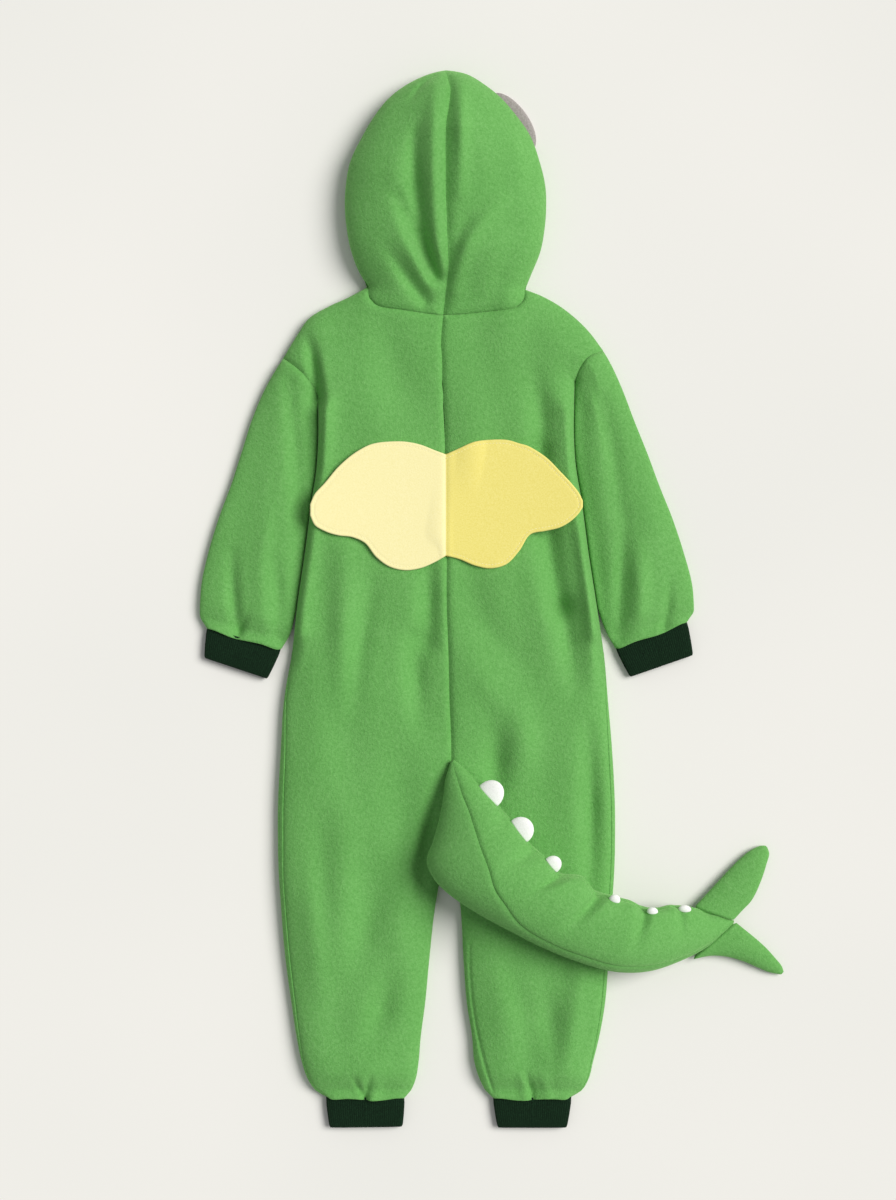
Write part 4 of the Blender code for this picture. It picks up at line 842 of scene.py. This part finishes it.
def body_ends(side, front, pitch):
    """Middle and side of each body row, how far in its side seam lies, and its table row."""
    rows = curve(BODY_LEFT if side == "left" else BODY_RIGHT, pitch, (SHOULDER_TIP, ARMHOLE_END, CROTCH))
    edge, mid, seam, row = rows[:, :2], rows[:, 2:4].copy(), np.maximum(rows[:, 4], 0.0), rows[:, -1]
    if front:
        mid[:, 1] += ZIP_TOP * (1.0 - np.clip(mid[:, 1] / NECK_DROP_END, 0.0, 1.0))
        zipped = smooth((mid[:, 1] - ZIP_END + ZIP_CLOSING) / ZIP_CLOSING_EASE)
        mid[:, 0] = mix(mid[:, 0] + SIGN[side] * SEAM / 2, SIGN[side] * ZIP_HALF, zipped)
    else:
        mid[:, 0] += SIGN[side] * SEAM / 2
    on_armhole = (row > SHOULDER_TIP) & (row < ARMHOLE_END)
    on_crease = (row >= ARMHOLE_END) & (row < SLEEVE_CLEAR)
    edge = trim(edge, mid, np.where(on_armhole, ARMHOLE_GAP, np.where(on_crease, SIDE_GAP, 0.0)))
    return mid, edge, seam, row


def plan_distance(grid, line):
    """How far each grid point lies from the line of another grid row or column, in plan."""
    segments = np.column_stack([line[:-1, :2], line[1:, :2], np.zeros(len(line) - 1)])
    return nearest(grid[..., :2], segments)[0]


def puff(grid):
    """Gathered cloth stands over its cuff: near the last row, the cloth runs on by a wavy length
    and is higher, both fading to nothing at the row's ends as a power of sin(pi u)."""
    way = unit((grid[-1] - grid[-4])[:, :2].mean(axis=0))
    u = np.linspace(0.0, 1.0, grid.shape[1])
    near = smooth(1.0 - plan_distance(grid, grid[-1]) / HEM_PUFF) * np.sin(np.pi * u) ** HEM_ROUND
    sway = 1.0 + HEM_SWAY * np.sin(2.0 * np.pi * HEM_WAVES * u + HEM_START)
    grid[..., :2] += way * (HEM_HANG * near * sway)[..., None]
    grid[..., 2] += HEM_STAND * near


def back_panel(side):
    """Half of the back with its leg: the height field between the centre seam and the side,
    pulled in at the neck seam, the centre seam, the armhole and the side seam."""
    mid, edge, seam, row = body_ends(side, False, ROW_PITCH)
    fade = fading(1.0 + mid[:, 1] / NECK_FADE)
    end = trim(edge, mid, np.where(seam > 0.5, seam + SEAM / 2, 0.0))
    share = crowded(BACK_COLUMNS)
    xy = between(mid, end, share)
    xy[..., 1] += neck_dip(share, False, fade)
    xy = off_neck_seam(xy)
    grid, normal = cloth(xy, True, ((mid + edge) / 2)[:, None] - xy)
    armhole = edge[(row >= SHOULDER_TIP) & (row <= ARMHOLE_END)]
    pulls = [seam_pull(plan_distance(grid, line)) for line in (grid[0], grid[row <= CROTCH, 0], armhole)]
    pulls.append(seam_pull(plan_distance(grid, end[seam > 1.0]), SIDE_SEAM_DEEP, SIDE_SEAM_WIDE))
    grid[..., 2] -= np.maximum.reduce(pulls)
    puff(grid)
    return fleece_wall("back_panel_" + side, grid, normal)


def front_panel(side):
    """Half of the front with its leg: flat on the surface from the zip to the tuck, then round
    the side and over it to the side seam."""
    mid, edge, seam, row = body_ends(side, True, UNDER_PITCH)
    fade = fading(1.0 + (mid[:, 1] - ZIP_TOP) / NECK_FADE)
    share = crowded(UNDER_COLUMNS)
    xy = between(mid, edge, share)
    xy[..., 1] += neck_dip(share, True, fade)
    xy = off_neck_seam(xy)
    below, normal = cloth(xy, False, ((mid + edge) / 2)[:, None] - xy)
    reach = np.maximum(seam - SEAM / 2, 0.0)
    over = np.linspace(0.0, 1.0, WRAP_COLUMNS + 1)[1:]
    xy = np.stack([trim(edge, mid, reach * s) for s in over], axis=1)
    wrap, turned = cloth(xy, True, mid[:, None] - xy)
    flat = seam <= 0.5
    wrap[flat], turned[flat] = below[flat, -1:], normal[flat, -1:]
    outer, normal = np.concatenate([below, wrap], axis=1), np.concatenate([normal, turned], axis=1)
    return fleece_wall("front_panel_" + side, outer, normal)


def armhole_line(side):
    """The armhole seam on the sleeve's side of it, from the shoulder tip down."""
    body = BODY[side]
    edge = body[(body[:, -1] >= SHOULDER_TIP) & (body[:, -1] <= ARMHOLE_END), :2]
    outer, inner = sleeve_rows(side, ROW_PITCH)
    return edge + unit((outer[3] + inner[3]) / 2 - (outer[0] + inner[0]) / 2) * ARMHOLE_GAP


def sleeve(side):
    """A sleeve as one tube: the upper field from its outer to its inner edge and the lower
    field back, with its first row on the armhole seam."""
    outer, inner = sleeve_rows(side, ROW_PITCH)
    gap = np.full(len(outer), SIDE_GAP)
    gap[-1] = 0.0
    inner = trim(inner, outer, gap)
    seam = armhole_line(side)
    over = between(outer, inner, crowded(SLEEVE_COLUMNS))
    under = between(inner, outer, crowded(UNDER_COLUMNS)[1:-1])
    slack = np.clip(1.0 - np.arange(len(outer)) / CAP_ROWS, 0.0, 1.0)[:, None, None]
    for grid in (over, under):
        share = np.linalg.norm(grid[0] - outer[0], axis=-1) / np.linalg.norm(inner[0] - outer[0])
        bulge = along_line(seam, share * lengths(seam)[-1]) - grid[0]
        grid += bulge[None] * slack**2
    middle = ((outer + inner) / 2)[:, None]
    broad = mix(1.0, SLEEVE_BROAD, smooth(plan_distance(over, over[0]) / SLEEVE_SINK_EASE))
    (p0, n0), (p1, n1) = cloth(over, True, middle - over, broad), cloth(under, False, middle - under)
    from_armhole = plan_distance(p0, p0[0])
    high = np.maximum(p0[..., 2] - WIDEST["body"], 0.0) / (TALL["body"] - WIDEST["body"])
    p0[..., 2] -= SLEEVE_SINK * smooth(from_armhole / SLEEVE_SINK_EASE) * np.minimum(high, 1.0)
    p0[..., 2] -= seam_pull(from_armhole)
    puff(p0)
    shell, normal = np.concatenate([p0, p1], axis=1), np.concatenate([n0, n1], axis=1)
    return fleece_wall("sleeve_panel_" + side, shell, normal, closed=True)


def hood_half(side):
    """Half of the hood: the upper field from the centre seam to the outline and the lower field
    under it to the face opening."""
    line = curve(HOOD, HOOD_PITCH)
    seam = line[:, 0:2] + [SIGN[side] * SEAM / 2, 0.0]
    edge = line[:, 2:4].copy() if side == "left" else line[:, 4:6].copy()
    face = line[:, 6:8] * [SIGN[side], 1.0]
    edge[-1, 0] += SIGN[side] * SEAM / 2
    face[:, 0] = SIGN[side] * np.maximum(np.abs(face[:, 0]), SEAM / 2)
    fade = fading(1.0 - seam[:, 1] / HOOD_NECK_FADE)
    corner = fading(1.0 - (edge[:, 1] - edge[0, 1]) / HOOD_CORNER_FADE)
    share = crowded(HOOD_COLUMNS)
    over = between(seam, edge, share)
    over[..., 1] += neck_dip(share, False, fade, corner)
    share = crowded(UNDER_COLUMNS)
    under = between(face, edge, share)
    under[..., 1] += neck_dip(share, True, fade, corner)
    over, under = off_neck_seam(over), off_neck_seam(under)[:, -2::-1]
    p0, n0 = cloth(over, True, HOOD_AIM - over)
    p1, n1 = cloth(under, False, HOOD_AIM - under)
    pull = seam_pull(plan_distance(p0, p0[:, 0]), HOOD_SEAM_DEEP, HOOD_SEAM_WIDE)
    p0[..., 2] -= np.maximum(pull, seam_pull(plan_distance(p0, p0[0])))
    for normal in (n0, n1):
        normal[-1, :, 0] = 0.0
    shell, normal = np.concatenate([p0, p1], axis=1), np.concatenate([n0, n1], axis=1)
    return fleece_wall("hood_panel_" + side, shell, normal)


def flat_ring(start, end, low, high, turn, square):
    """Closed rings between plan points: a superellipse from low to high over the width."""
    across, up = 0.5 - 0.5 * power(np.cos(turn), square), power(np.sin(turn), square)
    plan = start[:, None] + across[:, None] * (end - start)[:, None]
    z = (low + high)[:, None] / 2 + (high - low)[:, None] / 2 * up
    return np.concatenate([plan, z[..., None]], axis=-1)


def even_turns(start, end, low, high, square, spacing, points):
    """Angles at which points stand evenly along a superellipse ring, so many to each spacing."""
    fine = np.linspace(0.0, 2.0 * np.pi, 4001)
    length = lengths(flat_ring(start[None], end[None], np.array([low]), np.array([high]), fine, square)[0])
    count = int(length[-1] / spacing) * points
    return np.interp(np.linspace(0.0, length[-1], count, endpoint=False), length, fine)


def cuff(name):
    """A rib cuff: a flat tube whose wall rises and falls as cos^2 across each rib, closing to a
    soft roll at its free edge."""
    a0, b0, a1, b1 = [np.array(p, float) for p in CUFFS[name]]
    share = np.array(CUFF_ROWS)[:, None]
    swell = profile(share, CUFF_SIDES)
    start, end = a0 + share * (a1 - a0), b0 + share * (b1 - b0)
    way = unit(end - start)
    down = unit(a1 + b1 - a0 - b0)
    start, end = start - way * swell + down * SEAM, end + way * swell + down * SEAM
    high, low = CUFF_TALL + profile(share[:, 0], CUFF_TOP), profile(share[:, 0], CUFF_UNDER)
    turn = even_turns(a0, b0, 0.0, CUFF_TALL, CUFF_SQUARE, RIB_PITCH, RIB_POINTS)
    grid = flat_ring(start, end, low, high, turn, CUFF_SQUARE)
    normal = grid_normals(grid, closed=True)
    centre = grid.mean(axis=1, keepdims=True)
    normal *= np.sign(((grid - centre) * normal).sum())
    inner = grid - RIB * normal
    rib = np.cos(np.pi * np.arange(len(turn)) / RIB_POINTS) ** 2 - 1.0
    grid = grid + normal * rib[None, :, None] * RIB_DEEP
    grid[..., 2] = np.maximum(grid[..., 2], 0.0)
    return wall(name + "_knit", grid, inner, RIB_GREEN, closed=True)


# Wings

def wing_height(xy):
    """Height of the felt's lower face: on the back at the middle, standing off at the tips."""
    back = cloth(xy, True)[..., 2]
    flat = TALL["body"] + SEAM + WING_RAISE * np.abs(xy[..., 0] / WING_SPAN) ** WING_CURVE
    on_back = smooth((WING_ON_BACK - np.abs(xy[..., 0])) / WING_EASE)
    return np.maximum(flat, mix(flat, back + SEAM, on_back))


def wing_rows(pitch):
    """Rows of the wings from tip to tip: x, upper edge and lower edge."""
    return curve(WINGS, pitch, (WING_CENTRE,))


def wings():
    """The pair of wings: felt between the upper and the lower edge of each row, its two faces
    drawn together by a quarter circle at the rim, with a crease down the middle."""
    rows = wing_rows(WING_PITCH)
    share = crowded(WING_COLUMNS)
    y = rows[:, 1:2] + share * (rows[:, 2:3] - rows[:, 1:2])
    xy = np.stack([np.broadcast_to(rows[:, :1], y.shape), y], axis=-1)
    edge = np.concatenate([rows[:, (0, 1)], rows[::-1][:, (0, 2)], rows[:1, (0, 1)]])
    far = plan_distance(xy, edge)
    round_ = np.sqrt(1.0 - (1.0 - np.clip(far / (FELT / 2), 0.0, 1.0)) ** 2)
    crease = WING_CREASE_DEEP * bell(np.abs(xy[..., 0]), WING_CREASE_WIDE, WING_CREASE_FOOT)
    middle = wing_height(xy) + FELT / 2
    stitched = WING_STITCH_DEEP * bell(far - WING_STITCH_IN, WING_STITCH_WIDE)
    top = middle + FELT / 2 * round_ - stitched - crease
    bottom = middle - FELT / 2 * round_
    points = np.concatenate([np.dstack([xy, top]).reshape(-1, 3), np.dstack([xy, bottom]).reshape(-1, 3)])
    quads = np.concatenate([grid_quads(*y.shape), grid_quads(*y.shape, first=y.size)[:, ::-1]])
    piece = make("wings_felt", points, quads, WING_FELT)
    merge(piece)
    return piece


def wing_stitches():
    """The line of stitches along each wing's edge, a set distance in from it."""
    rows = wing_rows(STITCH_PITCH)
    found = []
    for half in (rows[rows[:, 0] <= 0.0], rows[rows[:, 0] >= 0.0]):
        loop = np.concatenate([half[:, (0, 1)], half[::-1][:, (0, 2)]])
        way = unit(np.gradient(loop, axis=0))
        inner = loop + np.stack([way[:, 1], -way[:, 0]], axis=-1) * WING_STITCH_IN
        far = plan_distance(inner, np.concatenate([loop, loop[:1]]))
        kept = (far > WING_STITCH_IN * STITCH_LEAST) & (np.abs(inner[:, 0]) > STITCH_CLEAR)
        found.append(inner[kept])
    return np.concatenate(found)


def thread_line(name, line, height, material):
    """Stitches along a plan line: each a thin six-sided bar with tapered ends."""
    at = np.arange(STITCH_STEP, lengths(line)[-1] - STITCH_STEP, STITCH_STEP)
    a, b = along_line(line, at - STITCH_LONG / 2), along_line(line, at + STITCH_LONG / 2)
    whole = np.linalg.norm(b - a, axis=-1) < STITCH_LONG * STITCH_JUMP
    a, b = a[whole], b[whole]
    share, thin, up = STITCH_BAR.T
    thin = thin * STITCH_THICK / 2
    plan = between(a, b, share)
    z = height(plan) + up
    along = unit(b - a)
    side = np.stack([-along[:, 1], along[:, 0], np.zeros(len(a))], axis=-1)
    turn = turns(6)
    ring = np.cos(turn)[:, None] * side[:, None, None] + np.sin(turn)[:, None] * np.array([0.0, 0.0, 1.0])
    points = np.concatenate([plan, z[..., None]], axis=-1)[:, :, None] + ring * thin[None, :, None, None]
    caps = np.array([[0, 5, 4, 3], [0, 3, 2, 1], [18, 19, 20, 21], [18, 21, 22, 23]])
    shape = np.concatenate([grid_quads(4, 6, closed=True), caps])[:, ::-1]
    return make(name, points.reshape(-1, 3), repeated(shape, 24, len(a)), material)


# Tail, fins, spikes, ears and zip

TAIL_LINE = curve(TAIL, TAIL_PITCH)


def tail_rings(row):
    """The tail's columns at table rows, and the middle of the ring there."""
    at = {name: np.interp(row, TAIL_LINE[:, -1], TAIL_LINE[:, k]) for k, name in enumerate(TAIL_COLUMNS)}
    widest = at["under"] + TAIL_WIDEST * at["thick"]
    middle = [(at["low_x"] + at["spine_x"]) / 2, (at["low_y"] + at["spine_y"]) / 2, widest]
    return at, np.stack(middle, axis=-1)


def tail_at(row, turn):
    """Points of the tail at table rows and ring angles in degrees: 0 at the lower edge, 90 on
    top, 180 at the spine edge and 270 below. The ring is a superellipse, and puckers dent it."""
    row, turn = np.broadcast_arrays(np.asarray(row, float), np.asarray(turn, float))
    at, middle = tail_rings(row)
    angle = np.radians(turn)
    across = 0.5 - 0.5 * power(np.cos(angle), TAIL_FULL)
    x = mix(at["low_x"], at["spine_x"], across)
    y = mix(at["low_y"], at["spine_y"], across)
    widest = middle[..., 2]
    above = (at["under"] + at["thick"] - widest) * np.abs(np.sin(angle)) ** TAIL_OVER
    below = (widest - at["under"]) * np.abs(np.sin(angle)) ** TAIL_BELOW
    points = np.stack([x, y, widest + np.where(np.sin(angle) >= 0, above, -below)], axis=-1)
    dent, sink = np.zeros(row.shape), np.zeros(row.shape)
    shown = (turn > PUCKER_PAST) & (turn < TAIL_SPINE_TURN + PUCKER_PAST)
    for place, edge, drop, half, run in PUCKERS:
        from_spine = np.clip((TAIL_SPINE_TURN - turn) / run, 0.0, 1.0)
        press = shown * bell(row - place - PUCKER_SLANT * from_spine, half) * (1.0 - smooth(from_spine))
        dent += edge * press
        sink += drop * press
    dented = points + unit(middle - points) * dent[..., None]
    dented[..., 2] -= sink * np.sqrt(np.clip(np.sin(angle), 0.0, 1.0))
    return dented


def tail_panels():
    """The tail's three panels: the side that shows, the belly, and the side below. Each is the
    ring surface between two seams, pulled in there."""
    row = TAIL_LINE[:, -1]
    at, middle = tail_rings(row)
    middle = middle[:, None]
    gap = np.degrees(SEAM / np.hypot(at["spine_x"] - at["low_x"], at["spine_y"] - at["low_y"]))
    belly = np.degrees(np.arccos(power(1.0 - 2.0 * at["seam"], 1 / TAIL_FULL)))
    thick = FLEECE * np.minimum(1.0, at["thick"] / TAIL_THIN)[:, None, None]
    slim = np.minimum(1.0, at["thick"] / TAIL_SLIM)[:, None]
    spans = {
        "tail_side_shown": (belly + gap, TAIL_SPINE_TURN - gap, TAIL_SIDE_COLUMNS, FLEECE_GREEN),
        "tail_side_under": (TAIL_SPINE_TURN + gap, TAIL_UNDER_TURN - gap, TAIL_BELLY_COLUMNS, FLEECE_GREEN),
        "tail_belly": (TAIL_UNDER_TURN + gap - 360.0, belly - gap, TAIL_BELLY_COLUMNS, FLEECE_BELLY),
    }
    made = {}
    for name, (start, end, count, material) in spans.items():
        turn = start[:, None] + crowded(count) * (end - start)[:, None]
        grid = tail_at(row[:, None] * np.ones(count), turn)
        far = [np.linalg.norm(grid - seam, axis=-1) for seam in (grid[:, :1], grid[:, -1:])]
        pull = seam_pull(np.minimum(*far), TAIL_SEAM_DEEP, TAIL_SEAM_WIDE) * slim
        grid = grid + unit(middle - grid) * pull[..., None]
        normal = grid_normals(grid)
        normal *= np.sign(((grid - middle) * normal).sum())
        made[name] = wall(name + "_panel", grid, grid - thick * normal, material)
    return made


def fin(name, rows):
    """A padded fin: an oval ring at each row, drawn to a round tip. Its root is thinner and runs
    on into the tail's seam."""
    line = curve(rows, FIN_PITCH)
    root = line[0] - (line[1] - line[0]) * FIN_ROOT / np.linalg.norm(line[1, :4] - line[0, :4])
    middle = (root[0:2] + root[2:4]) / 2
    root[0:2], root[2:4] = mix(root[0:2], middle, FIN_ROOT_IN), mix(root[2:4], middle, FIN_ROOT_IN)
    root[4:6] = line[0, 4] - FIN_ROOT_LOW, line[0, 5] * FIN_ROOT_THIN
    line = np.vstack([root, line])
    half = line[:, 5] / 2
    low = np.maximum(line[:, 4] - half, 0.0)
    rings = flat_ring(line[:, 0:2], line[:, 2:4], low, line[:, 4] + half, turns(FIN_POINTS), 1.0)
    return closed_rings(name + "_padded", rings, FLEECE_GREEN)


def spikes():
    """Six felt spikes: each a half ball on the spine seam, squashed across it."""
    made = []
    angle, climb = turns(SPIKE_POINTS)[None, :, None], np.radians(SPIKE_CLIMB)[:, None, None]
    for number, (row, turn, half_length, stand, half_thick) in enumerate(SPIKES, 1):
        ahead = tail_at(row + SPIKE_ROWS, turn) - tail_at(row - SPIKE_ROWS, turn)
        out = unit(np.cross(ahead, tail_at(row, turn + SPIKE_TURN) - tail_at(row, turn - SPIKE_TURN)))
        along = unit(ahead - out * (ahead @ out))
        rings = (tail_at(row, turn) + out * SPIKE_OFF + np.cos(climb) * half_length * np.cos(angle) * along
                 + np.cos(climb) * half_thick * np.sin(angle) * np.cross(out, along)
                 + np.sin(climb) * stand * out)
        made.append(closed_rings(f"spike_{number}_felt", rings, WHITE_FELT))
    return made


def ear(name):
    """A flat padded ear, tucked under the edge of the hood and lying on the surface."""
    x, y, turn = EARS[name]
    turn = np.radians(turn)
    along, out = np.array([np.cos(turn), np.sin(turn)]), np.array([-np.sin(turn), np.cos(turn)])
    angle = turns(EAR_POINTS)
    rings = []
    for share, height in EAR_RINGS:
        plan = (np.array([x, y]) + share * EAR_LONG * np.cos(angle)[:, None] * along
                + share * EAR_DEEP * np.sin(angle)[:, None] * out)
        z = np.minimum(height, cloth(plan, False)[..., 2] - EAR_CLEAR)
        rings.append(np.concatenate([plan, z[:, None]], axis=-1))
    return closed_rings(name + "_felt", np.array(rings), GREY_FELT)


def zip_teeth():
    """The closed chain below the tape: two rows of small blocks that mesh, worked out as one
    array of boxes along the zip."""
    y = np.arange(ZIP_TOP - CHAIN_FROM, ZIP_END + CHAIN_PAST, -TOOTH_PITCH)
    y = np.concatenate([y, y - TOOTH_PITCH / 2])
    side = np.repeat([-1.0, 1.0], len(y) // 2)
    corner = np.array([(a, b, c) for a in (-0.5, 0.5) for b in (-0.5, 0.5) for c in (0.0, 1.0)])
    place = np.stack([side * TOOTH_OFF, y, np.full_like(y, TOOTH_LOW)], axis=-1)
    place[:, 2] += lift(place[:, :2])
    points = place[:, None] + corner * [TOOTH_WIDE, TOOTH_LONG, TOOTH_TALL]
    quads = np.array([[0, 1, 3, 2], [4, 6, 7, 5], [0, 4, 5, 1], [2, 3, 7, 6], [0, 2, 6, 4], [1, 5, 7, 3]])
    return make("zip_teeth", points.reshape(-1, 3), repeated(quads, 8, len(points)), TEETH)


# Assembly

def show(piece, slot, *nodes):
    """Rides a piece on the garment and lets it stand for its solids."""
    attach(piece, "garment")
    if nodes:
        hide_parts(*nodes)
    return piece


def build_garment():
    """Every sewn piece of the garment."""
    for side in ("left", "right"):
        for part, build in (("hood", hood_half), ("back", back_panel), ("front", front_panel),
                            ("sleeve", sleeve)):
            show(build(side), "fleece", part + "_" + side)
    for name in CUFFS:
        show(cuff(name), "rib", name)
    felt_piece = show(wings(), "wing_felt", "wings")
    thread = thread_line("wing_stitching", wing_stitches(),
                         lambda plan: wing_height(plan) + FELT - STITCH_SUNK, THREAD)
    show(thread, "wing_felt")
    for name, piece in tail_panels().items():
        show(piece, "fleece", name)
    for name, rows in (("fin_upper", FIN_UPPER), ("fin_lower", FIN_LOWER)):
        show(fin(name, rows), "fleece", name)
    for number, piece in enumerate(spikes(), 1):
        show(piece, "white_felt", f"spike_{number}")
    for name in EARS:
        show(ear(name), "grey_felt", name)
    show(zip_teeth(), "zip_tape")
    for name, material in (("zip_tape", TAPE), ("zip_slider", ZIP_METAL), ("zip_pull", ZIP_METAL)):
        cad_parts[name].data.materials.clear()
        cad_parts[name].data.materials.append(material)


# Floor, light and camera

PHOTO_TALL = 1320.0                            # what the photograph takes in from top to bottom
PHOTO_CENTRE = (2.2, -312.4)
CAMERA_HIGH, CLOTH_LEVEL, SENSOR = 3000.0, 10.0, 36.0
FLOOR_HALF = 4000.0
KEY_FROM, KEY_STRENGTH, KEY_SOFTNESS = (1.7, 0.55, 1.9), 2.95, 36.0   # direction, W/m2, degrees across
KEY_COLOUR, FILL_COLOUR, FILL_STRENGTH = (1.0, 0.99, 0.965), (0.97, 0.985, 1.0, 1.0), 0.33


def build_stage():
    """A pale floor, a big soft light high on the upper right, and even light all round."""
    corners = FLOOR_HALF * np.array([(-1, -1, 0), (1, -1, 0), (1, 1, 0), (-1, 1, 0)], float)
    made, tree, shader, place = surface("matt_backing_paper", Roughness=0.9, Specular_IOR_Level=0.1)
    cloud = grains(tree, place, size_mm=500.0, detail=1.0)
    tree.links.new(ramp(tree, cloud, "EDECE7", "F2F0EB"), shader.inputs["Base Color"])
    floor = make("floor", corners, np.array([[0, 1, 2, 3]]), made)
    key = bpy.data.lights.new("key_softbox", "SUN")
    key.energy, key.angle = KEY_STRENGTH, np.radians(KEY_SOFTNESS)
    key.color = KEY_COLOUR
    lamp = bpy.data.objects.new("key_softbox", key)
    x, y, z = KEY_FROM
    lamp.rotation_euler = (np.arctan2(np.hypot(x, y), z), 0.0, np.arctan2(y, x) + np.pi / 2)
    bpy.context.scene.collection.objects.link(lamp)
    world = bpy.data.worlds.new("studio")
    world.use_nodes = True
    sky = world.node_tree.nodes["Background"].inputs
    sky["Color"].default_value = FILL_COLOUR
    sky["Strength"].default_value = FILL_STRENGTH
    bpy.context.scene.world = world
    bpy.context.scene.view_settings.view_transform = "Standard"


def build_camera():
    """Straight above, with the photograph's frame at the height of the cloth."""
    lens = bpy.data.cameras.new("camera")
    lens.sensor_fit, lens.sensor_height, lens.sensor_width = "AUTO", SENSOR, SENSOR
    lens.lens = SENSOR * (CAMERA_HIGH - CLOTH_LEVEL) / PHOTO_TALL
    camera = bpy.data.objects.new("camera", lens)
    camera.location = ((np.array([*PHOTO_CENTRE, CAMERA_HIGH]) + PLACE) * MM).tolist()
    bpy.context.scene.collection.objects.link(camera)
    bpy.context.scene.camera = camera


build_stage()
build_garment()
build_camera()
